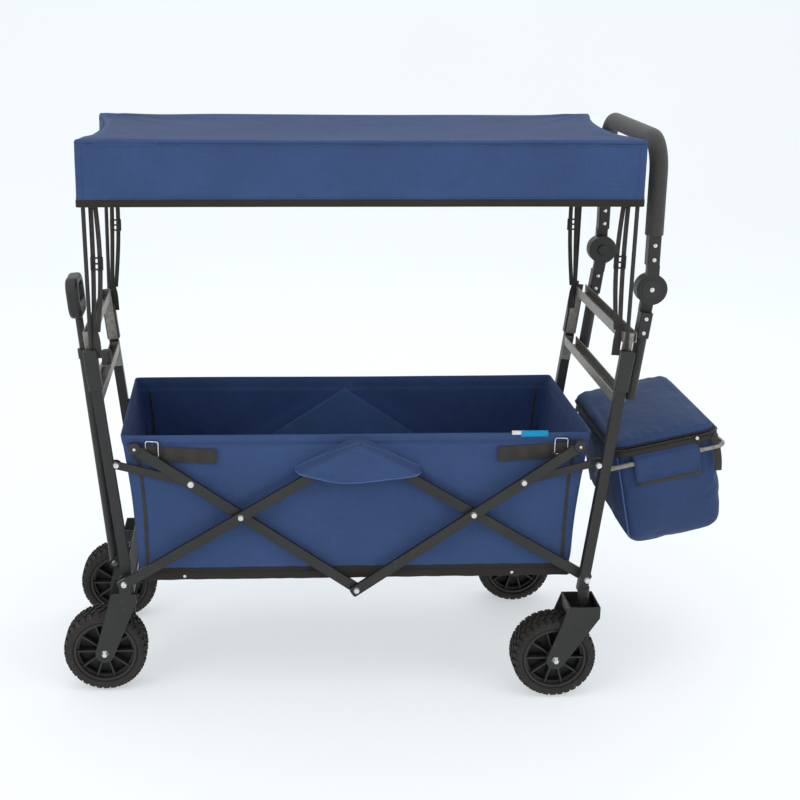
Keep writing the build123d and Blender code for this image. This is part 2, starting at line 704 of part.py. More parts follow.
def make_canopy_side_valances():
    half = CANOPY_X - CANOPY_WALL - GAP
    with BuildPart() as valances:
        with BuildSketch(side(CANOPY_Y - CANOPY_WALL)):
            with Locations((MID_X, (CANOPY_LOW + CANOPY_TOP - CANOPY_WALL) / 2)):
                Rectangle(2 * half, CANOPY_TOP - CANOPY_WALL - CANOPY_LOW)
        extrude(amount=CANOPY_WALL)
        mirror(about=Plane.XZ)
    return valances.part


def make_canopy_end_valance(end):
    height = CANOPY_TOP - CANOPY_WALL - CANOPY_LOW - GAP
    with BuildPart() as valance:
        with BuildSketch(Plane.XY.offset(CANOPY_LOW)):
            with Locations((MID_X + end * (CANOPY_X - CANOPY_WALL / 2), 0)):
                Rectangle(CANOPY_WALL, 2 * CANOPY_Y - CANOPY_WALL)
        extrude(amount=height)
    return valance.part


# ---- cooler bag ---------------------------------------------------------------------------
def bag_plane(up):
    """Plane of the bag's mouth, raised along the bag's own upward direction."""
    tilt = radians(BAG_TILT)
    along = (cos(tilt), 0, sin(tilt))
    mouth = Plane(origin=(rear(BAG_X), 0, BAG_Z), x_dir=along, z_dir=(-sin(tilt), 0, cos(tilt)))
    return mouth.offset(up)


def make_bag_shell():
    with BuildPart() as shell:
        with BuildSketch(bag_plane(0)):
            with Locations((BAG_LEN / 2, 0)):
                RectangleRounded(BAG_LEN, 2 * BAG_HALF_WIDTH, BAG_ROUND)
        extrude(amount=-BAG_DEEP, taper=BAG_TAPER)
        with BuildSketch(bag_plane(0)):
            with Locations((BAG_LEN / 2, 0)):
                RectangleRounded(BAG_LEN - 2 * BAG_WALL, 2 * (BAG_HALF_WIDTH - BAG_WALL), BAG_ROUND / 2)
        extrude(amount=BAG_WALL - BAG_DEEP, taper=BAG_TAPER, mode=Mode.SUBTRACT)
    return shell.part


def make_bag_lid():
    with BuildPart() as lid:
        with BuildSketch(bag_plane(GAP)):
            with Locations((BAG_LEN / 2, 0)):
                RectangleRounded(BAG_LEN - LID_INSET, 2 * (BAG_HALF_WIDTH - LID_INSET), BAG_ROUND)
        extrude(amount=LID_THICK)
        fillet(lid.faces().sort_by(Axis.Z)[-1].edges(), LID_THICK / 4)
    return lid.part


def make_bag_carriers():
    """Two rods fixed to the rear posts that the bag's side loops hang on."""
    tilt = radians(BAG_TILT)
    foot = rear(post_reach(CARRIER_Z))
    rod_y = BAG_HALF_WIDTH + CARRIER_PLAY + CARRIER_R
    with BuildPart() as carriers:
        with BuildSketch(side(rod_y + CARRIER_R)):
            with Locations((foot, CARRIER_Z)):
                Circle(POST_W / 2)
        extrude(amount=REAR_POST_Y - POST_D / 2 - rod_y - CARRIER_R)
        with BuildSketch(Plane(origin=(foot, -rod_y, CARRIER_Z), z_dir=(cos(tilt), 0, sin(tilt)))):
            Circle(CARRIER_R)
        extrude(amount=CARRIER_LEN)
        mirror(about=Plane.XZ)
    return carriers.part


# ---- build --------------------------------------------------------------------------------
rise_long = CROSS_Z - FOOT_Z
run_long = FOOT_X - CROSS_X
drop_low = CROSS_Z - LOW_Z
top_z = CROSS_Z + CROSS_X * rise_long / run_long
link_bar_z = CROSS_Z + (LINK_BAR_X - CROSS_X) * drop_low / CROSS_X
long_end_z = CROSS_Z + (LONG_BAR_END_X - CROSS_X) * drop_low / CROSS_X

foot_front, foot_rear = (front(FOOT_X), FOOT_Z), (rear(FOOT_X), FOOT_Z)
cross_front, cross_rear = (front(CROSS_X), CROSS_Z), (rear(CROSS_X), CROSS_Z)
low_centre, top_centre = (MID_X, LOW_Z), (MID_X, top_z)
link_post_front, link_post_rear = (front(LINK_POST_X), LINK_POST_Z), (rear(LINK_POST_X), LINK_POST_Z)
link_bar_front, link_bar_rear = (front(LINK_BAR_X), link_bar_z), (rear(LINK_BAR_X), link_bar_z)
long_end_front, long_end_rear = (front(LONG_BAR_END_X), long_end_z), (rear(LONG_BAR_END_X), long_end_z)

# drawbar-end frame
front_half = FRONT_POST_Y - POST_D / 2
front_lug = FRONT_POST_Y + POST_D / 2 - LUG_THICK
save(make_posts(-1, FRONT_POST_Y, FRONT_POST_FOOT, front_lug, False), "front_posts")
save(make_sleeves(-1, FRONT_POST_Y), "front_pole_sleeves")
save(make_poles(-1, FRONT_POST_Y), "front_canopy_poles")
low_plate = CROSSBAR_LOW_Z - PARK_DROP
save(make_crossbar(-1, CROSSBAR_HIGH_Z, front_half, POST_W / 2, SLEEVE_LOW), "front_upper_crossbar")
save(make_crossbar(-1, CROSSBAR_LOW_Z, front_half, POST_W / 2, low_plate), "front_lower_crossbar")
save(make_bottom_rail(-1, front_half, RAIL_Z), "front_bottom_rail")
save(make_front_forks(), "front_forks")
fork_half = WHEEL_WIDTH / 2 + FORK_CLEAR + FORK_PLATE
save(make_axle_bolt(front(FRONT_AXLE_X), -FRONT_WHEEL_Y, fork_half, True), "front_axle_bolts")
save(make_drawbar_bracket(), "drawbar_bracket")
save(make_drawbar_pin(), "drawbar_pin")
save(make_parking_plate(), "parking_plate")
save(make_parking_knob(), "parking_knob")

# tub and canopy
save(make_tub_floor(), "tub_floor")
save(make_tub_side_walls(), "tub_side_walls")
save(make_tub_end_wall(-1), "tub_front_wall")
save(make_tub_end_wall(1), "tub_rear_wall")
save(make_canopy_top(), "canopy_top")
save(make_canopy_side_valances(), "canopy_side_valances")
save(make_canopy_end_valance(-1), "canopy_front_valance")
save(make_canopy_end_valance(1), "canopy_rear_valance")

# scissor sides
save(make_bar(foot_front, top_centre, OUTER_BAR_Y, [foot_front, cross_front]), "scissor_bar_b")
save(make_bar(long_end_front, low_centre, INNER_BAR_Y, [link_bar_front, cross_front, low_centre]), "scissor_bar_a")
save(make_bar(low_centre, long_end_rear, OUTER_BAR_Y, [low_centre, cross_rear, link_bar_rear]), "scissor_bar_c")
save(make_bar(top_centre, foot_rear, INNER_BAR_Y, [cross_rear, foot_rear]), "scissor_bar_d")
save(make_links(link_post_front, link_bar_front, FRONT_LINK_Y, [link_post_front]), "front_links")
save(make_links(link_post_rear, link_bar_rear, REAR_LINK_Y, [link_post_rear]), "rear_links")

# rivets, grouped by the piece they are fixed in
inner_web = INNER_BAR_Y + BAR_DEPTH - BAR_WALL
inner_face = INNER_BAR_Y + BAR_DEPTH
outer_web = OUTER_BAR_Y + BAR_DEPTH - BAR_WALL
outer_face = OUTER_BAR_Y + BAR_DEPTH
pin_back = inner_web - BACK_HEAD_H
pin_head = outer_face + GAP
post_face = FRONT_POST_Y + POST_D / 2
rear_face = REAR_POST_Y - POST_D / 2
link_face = FRONT_LINK_Y + LINK_THICK
a_shanks = [(*cross_front, inner_web, pin_head), (*low_centre, inner_web, pin_head)]
a_shanks += [(*link_bar_front, inner_web, inner_face)]
a_heads = [(*point, inner_web, -BACK_HEAD_H, BACK_HEAD_R) for point in (cross_front, low_centre, link_bar_front)]
a_heads += [(*point, pin_head, HEAD_H, HEAD_R) for point in (cross_front, low_centre)]
a_heads += [(*point, inner_face, HEAD_H / 2, HEAD_R) for point in (link_bar_front, long_end_front)]
save(make_fasteners(a_shanks, a_heads), "scissor_rivets_a")
d_back = inner_web - GAP
c_shanks = [(*cross_rear, d_back, outer_face), (*link_bar_rear, outer_web, outer_face)]
c_heads = [(*cross_rear, d_back, -BACK_HEAD_H, BACK_HEAD_R), (*link_bar_rear, outer_web, -BACK_HEAD_H, BACK_HEAD_R)]
c_heads += [(*point, outer_face, HEAD_H, HEAD_R) for point in (cross_rear, link_bar_rear, long_end_rear)]
save(make_fasteners(c_shanks, c_heads), "scissor_rivets_c")
front_shanks = [(*foot_front, post_face, pin_head), (*link_post_front, post_face, link_face + GAP)]
front_heads = [(*foot_front, pin_head, HEAD_H, HEAD_R), (*link_post_front, link_face + GAP, HEAD_H, HEAD_R)]
save(make_fasteners(front_shanks, front_heads), "front_rivets")
rear_shanks = [(*foot_rear, d_back, rear_face), (*link_post_rear, REAR_LINK_Y - GAP, rear_face)]
rear_heads = [(*foot_rear, d_back, -BACK_HEAD_H, BACK_HEAD_R)]
rear_heads += [(*link_post_rear, REAR_LINK_Y - GAP, -BACK_HEAD_H, BACK_HEAD_R)]
rear_heads += [(*point, REAR_POST_Y + POST_D / 2, HEAD_H, HEAD_R) for point in (foot_rear, link_post_rear)]
save(make_fasteners(rear_shanks, rear_heads), "rear_rivets")

# push-handle-end frame
rear_half = REAR_POST_Y - POST_D / 2
arm_seat = ARM_OFFSET - ARM_R / cos(radians(LEAN)) - CHANNEL_H / 2 * tan(radians(LEAN))
save(make_posts(1, REAR_POST_Y, REAR_POST_FOOT, rear_half, True), "rear_posts")
save(make_sleeves(1, REAR_POST_Y), "rear_pole_sleeves")
save(make_poles(1, REAR_POST_Y), "rear_canopy_poles")
save(make_crossbar(1, CROSSBAR_HIGH_Z, rear_half, arm_seat, SLEEVE_LOW), "rear_upper_crossbar")
save(make_crossbar(1, CROSSBAR_LOW_Z, rear_half, arm_seat, low_plate), "rear_lower_crossbar")
save(make_lower_arms(), "handle_lower_arms")
save(make_lower_hubs(), "handle_lower_hubs")
save(make_upper_hubs(), "handle_upper_hubs")
save(make_hub_button(-1), "hub_button_near")
save(make_hub_button(1), "hub_button_far")
save(make_handle_loop(ARM_R, ARM_R - POST_WALL), "handle_tube")
save(make_handle_loop(GRIP_R, ARM_R), "handle_grip")

# wheels
for name, x, y in (
    ("front_near", front(FRONT_AXLE_X), -FRONT_WHEEL_Y),
    ("front_far", front(FRONT_AXLE_X), FRONT_WHEEL_Y),
    ("rear_near", rear(CASTER_X - CASTER_TRAIL), -REAR_POST_Y),
    ("rear_far", rear(CASTER_X - CASTER_TRAIL), REAR_POST_Y),
):
    save(make_tyre(x, y), f"{name}_tyre")
    save(make_rim(x, y), f"{name}_rim")
for name, y in (("near", -REAR_POST_Y), ("far", REAR_POST_Y)):
    save(make_caster_fork(y), f"caster_fork_{name}")
    save(make_axle_bolt(rear(CASTER_X - CASTER_TRAIL), y, fork_half, False), f"caster_bolt_{name}")

# drawbar
save(make_drawbar_tube(), "drawbar_tube")
save(make_drawbar_rod(), "drawbar_rod")
save(make_drawbar_grip(), "drawbar_grip")

# cooler bag
save(make_bag_shell(), "bag_shell")
save(make_bag_lid(), "bag_lid")
save(make_bag_carriers(), "bag_carriers")
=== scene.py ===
import math

import bmesh
import bpy
from mathutils import Matrix, Vector, noise


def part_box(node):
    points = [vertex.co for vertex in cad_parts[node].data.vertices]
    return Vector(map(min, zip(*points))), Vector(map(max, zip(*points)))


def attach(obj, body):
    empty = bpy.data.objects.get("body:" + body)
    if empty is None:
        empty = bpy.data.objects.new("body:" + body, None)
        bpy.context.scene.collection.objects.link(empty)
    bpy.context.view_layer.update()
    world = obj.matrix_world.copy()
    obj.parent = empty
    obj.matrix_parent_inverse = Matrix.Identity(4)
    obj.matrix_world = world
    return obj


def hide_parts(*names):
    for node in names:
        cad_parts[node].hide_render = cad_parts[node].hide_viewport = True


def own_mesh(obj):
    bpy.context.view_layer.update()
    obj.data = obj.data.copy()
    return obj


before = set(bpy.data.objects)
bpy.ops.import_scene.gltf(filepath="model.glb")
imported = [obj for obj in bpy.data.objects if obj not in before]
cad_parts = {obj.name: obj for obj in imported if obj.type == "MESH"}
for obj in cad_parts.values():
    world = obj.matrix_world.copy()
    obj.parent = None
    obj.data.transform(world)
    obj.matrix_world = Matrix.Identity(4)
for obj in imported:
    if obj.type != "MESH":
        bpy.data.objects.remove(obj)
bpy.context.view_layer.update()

SIDES = (-1, 1)                      # near side, far side
ENDS = (-1, 1)                       # drawbar end, push-handle end


# ---- where things are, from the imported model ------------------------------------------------
def span(*names):
    """Lowest and highest corner of several CAD nodes together."""
    boxes = [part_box(name) for name in names]
    low = Vector([min(b[0][i] for b in boxes) for i in range(3)])
    high = Vector([max(b[1][i] for b in boxes) for i in range(3)])
    return low, high


tub_low, tub_high = span("tub_side_walls", "tub_front_wall", "tub_rear_wall")
top_low, top_high = span("canopy_top")
mid_x = (tub_low.x + tub_high.x) / 2
rim_half = (tub_high.x - tub_low.x) / 2
base_half = rim_half - 0.020
tub_half_y = tub_high.y
rim_z, tub_z, floor_z = tub_high.z, tub_low.z, span("tub_floor")[1].z
outer_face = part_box("scissor_bar_b")[0][1]                 # outer face of the near outer bars
top_pivot_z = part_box("scissor_rivets_a")[1][2] - 0.008


# ---- materials ------------------------------------------------------------------------------
def rgb(red, green, blue):
    """Linear colour from the 0-255 values of a colour swatch."""
    def linear(value):
        value /= 255
        return value / 12.92 if value <= 0.04045 else ((value + 0.055) / 1.055) ** 2.4
    return (linear(red), linear(green), linear(blue), 1)


class Finish:
    """A procedural material, with short calls for the nodes that it uses."""

    def __init__(self, name, **constants):
        self.material = bpy.data.materials.new(name)
        self.material.use_nodes = True
        self.nodes = self.material.node_tree.nodes
        self.shader = self.nodes["Principled BSDF"]
        source = self.nodes.new("ShaderNodeTexCoord")
        self.place = source.outputs["Object"]
        self.facing = source.outputs["Normal"]
        for key, value in constants.items():
            self.shader.inputs[key.replace("_", " ")].default_value = value

    def join(self, output, socket):
        self.material.node_tree.links.new(output, socket)

    def stretched(self, x, y, z):
        node = self.nodes.new("ShaderNodeMapping")
        node.inputs["Scale"].default_value = (x, y, z)
        self.join(self.place, node.inputs["Vector"])
        return node.outputs["Vector"]

    def noise(self, scale, detail=3, place=None):
        node = self.nodes.new("ShaderNodeTexNoise")
        node.inputs["Scale"].default_value = scale
        node.inputs["Detail"].default_value = detail
        self.join(place or self.place, node.inputs["Vector"])
        return node.outputs["Fac"]

    def cells(self, scale, feature="F1"):
        node = self.nodes.new("ShaderNodeTexVoronoi")
        node.feature = feature
        node.inputs["Scale"].default_value = scale
        self.join(self.place, node.inputs["Vector"])
        return node.outputs["Distance"]

    def wave(self, axis, period):
        node = self.nodes.new("ShaderNodeTexWave")
        node.bands_direction = axis
        node.inputs["Scale"].default_value = math.tau / 20 / period
        self.join(self.place, node.inputs["Vector"])
        return node.outputs["Fac"]

    def weave(self, period):
        """Threads along the two directions that lie in the surface."""
        axes = self.nodes.new("ShaderNodeSeparateXYZ")
        self.join(self.facing, axes.inputs[0])
        rows = []
        for axis in "XYZ":
            facing = self.math("ABSOLUTE", axes.outputs[axis], 0)
            rows.append(self.math("MULTIPLY", self.wave(axis, period), self.math("SUBTRACT", 1, facing)))
        return self.total(*[(row, 0.5) for row in rows])

    def math(self, operation, first, second):
        node = self.nodes.new("ShaderNodeMath")
        node.operation = operation
        for socket, value in zip(node.inputs, (first, second)):
            if isinstance(value, (int, float)):
                socket.default_value = value
            else:
                self.join(value, socket)
        return node.outputs[0]

    def total(self, *weighted):
        """Sum of value times weight."""
        result = self.math("MULTIPLY", *weighted[0])
        for value, weight in weighted[1:]:
            result = self.math("ADD", result, self.math("MULTIPLY", value, weight))
        return result

    def ramp(self, value, *stops):
        node = self.nodes.new("ShaderNodeValToRGB")
        while len(node.color_ramp.elements) < len(stops):
            node.color_ramp.elements.new(0.5)
        for element, (place, colour) in zip(node.color_ramp.elements, stops):
            element.position = place
            element.color = colour
        self.join(value, node.inputs["Fac"])
        return node.outputs["Color"]

    def mix(self, factor, first, second):
        node = self.nodes.new("ShaderNodeMix")
        node.data_type = "RGBA"
        self.join(factor, node.inputs["Factor"])
        for name, value in (("A_Color", first), ("B_Color", second)):
            socket = [s for s in node.inputs if s.identifier == name][0]
            if isinstance(value, tuple):
                socket.default_value = value
            else:
                self.join(value, socket)
        return [s for s in node.outputs if s.identifier == "Result_Color"][0]

    def scuffs(self, scale, low, high):
        """1 in small scattered patches, 0 elsewhere."""
        node = self.nodes.new("ShaderNodeMapRange")
        node.inputs["From Min"].default_value = low
        node.inputs["From Max"].default_value = high
        self.join(self.noise(scale, 5), node.inputs["Value"])
        return node.outputs["Result"]

    def colour(self, output):
        self.join(output, self.shader.inputs["Base Color"])
        return self

    def rough(self, value, low, high):
        node = self.nodes.new("ShaderNodeMapRange")
        node.inputs["To Min"].default_value = low
        node.inputs["To Max"].default_value = high
        self.join(value, node.inputs["Value"])
        self.join(node.outputs["Result"], self.shader.inputs["Roughness"])
        return self

    def rounded_edges(self, radius):
        """Normal that turns smoothly over the sharp edges of pressed and moulded parts."""
        node = self.nodes.new("ShaderNodeBevel")
        node.samples = 4
        node.inputs["Radius"].default_value = radius
        return node.outputs["Normal"]

    def relief(self, height, depth, strength=1.0, under=None):
        node = self.nodes.new("ShaderNodeBump")
        node.inputs["Distance"].default_value = depth
        node.inputs["Strength"].default_value = strength
        self.join(height, node.inputs["Height"])
        if under:
            self.join(under, node.inputs["Normal"])
        return node.outputs["Normal"]

    def bump(self, height, depth, strength=1.0, under=None):
        self.join(self.relief(height, depth, strength, under), self.shader.inputs["Normal"])
        return self


def shade(colour, factor):
    return tuple(channel * factor for channel in colour[:3]) + (1,)


def cloth_finish(name, colour, thread=0.0011, depth=0.0004, contrast=0.26, roughness=(0.74, 0.92),
                 sheen=0.06):
    """Plain-woven coated polyester: threads, slubs along both thread directions and soft fading."""
    f = Finish(name, Sheen_Weight=sheen, Sheen_Roughness=0.45, Specular_IOR_Level=0.18)
    weave = f.weave(thread)
    slubs = f.total((f.noise(1, 2, f.stretched(38, 38, 900)), 0.5),
                    (f.noise(1, 2, f.stretched(900, 900, 34)), 0.5))
    fading = f.noise(7, 4)
    tone = f.total((slubs, 0.45), (fading, 0.35), (weave, 0.2))
    f.colour(f.ramp(tone, (0.30, shade(colour, 1 - contrast)), (0.70, shade(colour, 1 + contrast))))
    f.rough(slubs, *roughness)
    swells = f.relief(f.total((f.noise(11, 3), 0.7), (f.noise(34, 3), 0.3)), 0.012, 0.55)
    f.bump(f.total((weave, 0.7), (slubs, 0.5), (f.noise(160, 3), 0.35)), depth, under=swells)
    return f.material


def webbing_finish(name, colour, rib=0.0017):
    """Ribbed narrow webbing."""
    f = Finish(name, Specular_IOR_Level=0.35, Sheen_Weight=0.15)
    ribs = f.total((f.wave("X", rib), 0.33), (f.wave("Y", rib), 0.33), (f.wave("Z", rib * 1.3), 0.34))
    fuzz = f.noise(420, 3)
    f.colour(f.ramp(f.total((ribs, 0.6), (fuzz, 0.4)), (0.2, shade(colour, 0.65)), (0.8, shade(colour, 1.5))))
    f.rough(fuzz, 0.6, 0.85)
    f.bump(f.total((ribs, 0.8), (fuzz, 0.2)), 0.0005)
    return f.material


def coated_steel():
    """Satin black powder coat: orange peel, faint clouding and small rubbed spots."""
    f = Finish("coated_steel", Specular_IOR_Level=0.45)
    peel = f.noise(650, 2)
    cloud = f.noise(11, 5)
    base = f.ramp(cloud, (0.3, rgb(27, 26, 25)), (0.7, rgb(36, 35, 33)))
    f.colour(f.mix(f.scuffs(150, 0.66, 0.78), base, rgb(72, 69, 65)))
    f.rough(f.noise(34, 4), 0.36, 0.54)
    f.bump(peel, 0.00012, under=f.rounded_edges(0.0013))
    return f.material


def zinc_plate():
    """Dull galvanised steel with spangle and rolling marks."""
    f = Finish("zinc_plate", Metallic=0.75)
    spangle = f.cells(120)
    marks = f.noise(1, 4, f.stretched(30, 30, 700))
    f.colour(f.ramp(f.total((spangle, 0.5), (marks, 0.5)),
                    (0.2, rgb(118, 114, 108)), (0.8, rgb(160, 156, 149))))
    f.rough(marks, 0.36, 0.58)
    f.bump(f.total((spangle, 0.3), (marks, 0.7)), 0.00015, under=f.rounded_edges(0.0010))
    return f.material


def bright_metal():
    f = Finish("bright_metal", Metallic=1.0)
    scuff = f.noise(240, 4)
    f.colour(f.ramp(scuff, (0.3, rgb(188, 188, 186)), (0.75, rgb(236, 236, 232))))
    f.rough(f.noise(90, 3), 0.16, 0.36)
    f.bump(scuff, 0.00006)
    return f.material


def moulded_plastic(name, colour, grain=1100, roughness=(0.38, 0.58)):
    """Moulded plastic with a fine spark-eroded grain, flow shading and small scuffs."""
    f = Finish(name, Specular_IOR_Level=0.5)
    fine = f.noise(grain, 2)
    flow = f.noise(14, 4)
    base = f.ramp(flow, (0.3, shade(colour, 0.82)), (0.7, shade(colour, 1.2)))
    f.colour(f.mix(f.scuffs(180, 0.66, 0.8), base, shade(colour, 1.9)))
    f.rough(f.total((fine, 0.4), (flow, 0.6)), *roughness)
    f.bump(fine, 0.00012, under=f.rounded_edges(0.0012))
    return f.material


def tyre_rubber():
    """Matt rubber with moulding vents, dust and scuffs."""
    f = Finish("tyre_rubber", Specular_IOR_Level=0.35)
    dust = f.noise(28, 6)
    grain = f.noise(900, 2)
    base = f.ramp(dust, (0.32, rgb(33, 31, 29)), (0.72, rgb(48, 45, 42)))
    f.colour(f.mix(f.scuffs(120, 0.62, 0.8), base, rgb(78, 73, 68)))
    f.rough(f.total((dust, 0.6), (grain, 0.4)), 0.62, 0.9)
    f.bump(f.total((grain, 0.5), (dust, 0.5)), 0.0003)
    return f.material


def foam():
    """Closed-cell grip foam: small open pits on a soft skin."""
    f = Finish("grip_foam", Specular_IOR_Level=0.3, Sheen_Weight=0.2)
    pits = f.cells(850)
    swell = f.noise(60, 4)
    f.colour(f.ramp(f.total((pits, 0.7), (swell, 0.5)), (0.2, rgb(34, 33, 32)), (0.8, rgb(68, 66, 64))))
    f.rough(swell, 0.7, 0.95)
    f.bump(f.total((pits, 0.8), (swell, 0.3)), 0.0005)
    return f.material


def honeycomb():
    """Knob skin moulded in small cells."""
    f = Finish("honeycomb_plastic", Specular_IOR_Level=0.45)
    walls = f.cells(230, feature="DISTANCE_TO_EDGE")
    f.colour(f.ramp(walls, (0.02, rgb(70, 68, 66)), (0.2, rgb(34, 33, 33))))
    f.rough(f.noise(120, 3), 0.4, 0.65)
    f.bump(walls, 0.003, 0.8)
    return f.material


def studio_floor():
    f = Finish("studio_floor", Specular_IOR_Level=0.1, Emission_Color=(0.94, 0.975, 1.0, 1),
               Emission_Strength=0.50)
    f.colour(f.ramp(f.noise(1.2, 2), (0.3, (0.50, 0.52, 0.53, 1)), (0.7, (0.51, 0.53, 0.54, 1))))
    f.rough(f.noise(3, 2), 0.8, 0.95)
    f.bump(f.noise(50, 3), 0.0004)
    return f.material


BLUE = rgb(56, 77, 118)
steel = coated_steel()
zinc = zinc_plate()
bright = bright_metal()
black_plastic = moulded_plastic("black_plastic", rgb(32, 31, 30))
rim_plastic = moulded_plastic("rim_plastic", rgb(36, 35, 34), grain=700, roughness=(0.42, 0.66))
rubber = tyre_rubber()
grip_foam = foam()
knob_skin = honeycomb()
outer_cloth = cloth_finish("blue_cloth", BLUE)
# painted shade: the canopy's top is the same blue cloth, darkened to 0.8 to hold back how the top light falls
# on it
top_cloth_painted_shade = cloth_finish("canopy_cloth_painted_shade", shade(BLUE, 0.80))
# painted shade: the inside of the tub is the same blue cloth, given a darker colour for the shade that falls
# inside it
tub_inside_painted_shade = cloth_finish("tub_inside_cloth_painted_shade", rgb(43, 64, 108), roughness=(0.6, 0.8))
patch_cloth = cloth_finish("patch_cloth", rgb(58, 82, 126))
bag_cloth = cloth_finish("bag_cloth", shade(BLUE, 0.78), thread=0.0013, depth=0.0003)
black_cloth = cloth_finish("black_cloth", rgb(46, 43, 40), thread=0.0014, depth=0.0003, sheen=0.1)
black_web = webbing_finish("black_webbing", rgb(46, 43, 40))
thread_blue = webbing_finish("thread", rgb(34, 50, 88), rib=0.0006)
piping_blue = cloth_finish("piping_cloth", rgb(74, 98, 146), thread=0.0008)
silver_lining = cloth_finish("foil_lining", rgb(150, 152, 156), roughness=(0.3, 0.5), sheen=0.0)
cyan_cloth = cloth_finish("cyan_tag", rgb(24, 152, 202), thread=0.0007, contrast=0.1)
white_cloth = cloth_finish("white_tag", rgb(226, 226, 222), thread=0.0007, contrast=0.05)

NODE_FINISH = {
    steel: ("front_posts", "rear_posts", "front_canopy_poles", "rear_canopy_poles", "front_bottom_rail",
            "front_forks", "drawbar_bracket", "scissor_bar_a", "scissor_bar_b", "scissor_bar_c",
            "scissor_bar_d",
            "front_links", "rear_links", "handle_lower_arms", "handle_tube", "caster_fork_near",
            "caster_fork_far", "drawbar_tube", "drawbar_rod"),
    zinc: ("front_upper_crossbar", "rear_upper_crossbar", "front_lower_crossbar", "rear_lower_crossbar",
           "parking_plate", "bag_carriers"),
    bright: ("front_axle_bolts", "front_rivets", "rear_rivets", "scissor_rivets_a", "scissor_rivets_c",
             "caster_bolt_near", "caster_bolt_far", "drawbar_pin"),
    black_plastic: ("front_pole_sleeves", "rear_pole_sleeves", "handle_lower_hubs", "handle_upper_hubs",
                    "hub_button_near", "hub_button_far", "drawbar_grip"),
    rim_plastic: ("front_near_rim", "front_far_rim", "rear_near_rim", "rear_far_rim"),
    grip_foam: ("handle_grip",),
    knob_skin: ("parking_knob",),
}
for finish, names in NODE_FINISH.items():
    for name in names:
        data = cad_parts[name].data
        data.materials.clear()
        data.materials.append(finish)


# ---- mesh helpers ---------------------------------------------------------------------------
def add_mesh(name, verts, faces, finishes, face_slots=None, crisp=False):
    """A linked mesh object with outward normals; a crisp one keeps its sharp edges."""
    mesh = bpy.data.meshes.new(name)
    mesh.from_pydata([tuple(v) for v in verts], [], faces)
    for finish in finishes:
        mesh.materials.append(finish)
    if face_slots:
        mesh.polygons.foreach_set("material_index", face_slots)
    bm = bmesh.new()
    bm.from_mesh(mesh)
    bmesh.ops.recalc_face_normals(bm, faces=bm.faces)
    bm.to_mesh(mesh)
    bm.free()
    mesh.shade_smooth()
    if crisp:
        mesh.set_sharp_from_angle(angle=math.radians(34))
    obj = bpy.data.objects.new(name, mesh)
    bpy.context.scene.collection.objects.link(obj)
    return obj


def bake(obj):
    """The object's modifiers become its mesh."""
    graph = bpy.context.evaluated_depsgraph_get()
    graph.update()
    mesh = bpy.data.meshes.new_from_object(obj.evaluated_get(graph))
    obj.modifiers.clear()
    obj.data = mesh
    return obj


def thickened(obj, thickness, offset=0):
    """A sheet given its thickness; offset is -1 for inwards and 0 for both ways."""
    thick = obj.modifiers.new("thick", "SOLIDIFY")
    thick.thickness = thickness
    thick.offset = offset
    return bake(obj)


def grid_faces(columns, rows):
    """Faces of a grid whose points run along its rows."""
    wide = columns + 1
    return [(r * wide + c, r * wide + c + 1, (r + 1) * wide + c + 1, (r + 1) * wide + c)
            for r in range(rows) for c in range(columns)]


def on(obj, body):
    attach(obj, body)
    return obj


class Shape:
    """Vertices and faces gathered from several simple forms, for one piece."""

    def __init__(self):
        self.verts, self.faces, self.slots = [], [], []

    def add(self, verts, faces, slot=0):
        start = len(self.verts)
        self.verts += [Vector(v) for v in verts]
        self.faces += [tuple(start + i for i in face) for face in faces]
        self.slots += [slot] * len(faces)
        return self

    def sweep(self, path, section, normal, closed=False, slot=0):
        """A section (across, out) carried along a path, its normal turning with the path."""
        points = [Vector(p) for p in path]
        count, size = len(points), len(section)
        rising = Vector(normal)
        verts = []
        for i, point in enumerate(points):
            before = points[i - 1] if i or closed else point
            after = points[(i + 1) % count] if closed or i + 1 < count else point
            along = (after - before).normalized()
            rising = (rising - along * rising.dot(along)).normalized()
            across = along.cross(rising)
            verts += [point + across * u + rising * v for u, v in section]
        faces = []
        for i in range(count if closed else count - 1):
            j = (i + 1) % count
            faces += [(i * size + k, i * size + (k + 1) % size, j * size + (k + 1) % size, j * size + k)
                      for k in range(size)]
        if not closed:
            faces += [tuple(range(size)), tuple(range((count - 1) * size, count * size))]
        return self.add(verts, faces, slot)

    def turn(self, profile, centre, axis, steps=40, slot=0, hollow=False):
        """A profile of (distance along the axis, radius) turned round it; a hollow one is a closed loop."""
        axis = Vector(axis).normalized()
        first = axis.orthogonal().normalized()
        second = axis.cross(first)
        centre = Vector(centre)
        verts = []
        for k in range(steps):
            angle = math.tau * k / steps
            ray = first * math.cos(angle) + second * math.sin(angle)
            verts += [centre + axis * height + ray * radius for height, radius in profile]
        size = len(profile)
        faces = []
        for k in range(steps):
            n = (k + 1) % steps
            faces += [(k * size + i, k * size + (i + 1) % size, n * size + (i + 1) % size, n * size + i)
                      for i in range(size if hollow else size - 1)]
        if not hollow:
            faces.append(tuple(k * size for k in range(steps)))
            faces.append(tuple(k * size + size - 1 for k in range(steps)))
        return self.add(verts, faces, slot)

    def piece(self, name, finishes, crisp=False):
        return add_mesh(name, self.verts, self.faces, finishes, self.slots, crisp)


def flat(width, thick):
    """Section of a strap, rounded at its edges."""
    u, v, r = width / 2, thick / 2, thick * 0.35
    return [(-u, -v + r), (-u + r, -v), (u - r, -v), (u, -v + r),
            (u, v - r), (u - r, v), (-u + r, v), (-u, v - r)]


def circle(radius, steps=10):
    return [(radius * math.cos(math.tau * k / steps), radius * math.sin(math.tau * k / steps))
            for k in range(steps)]


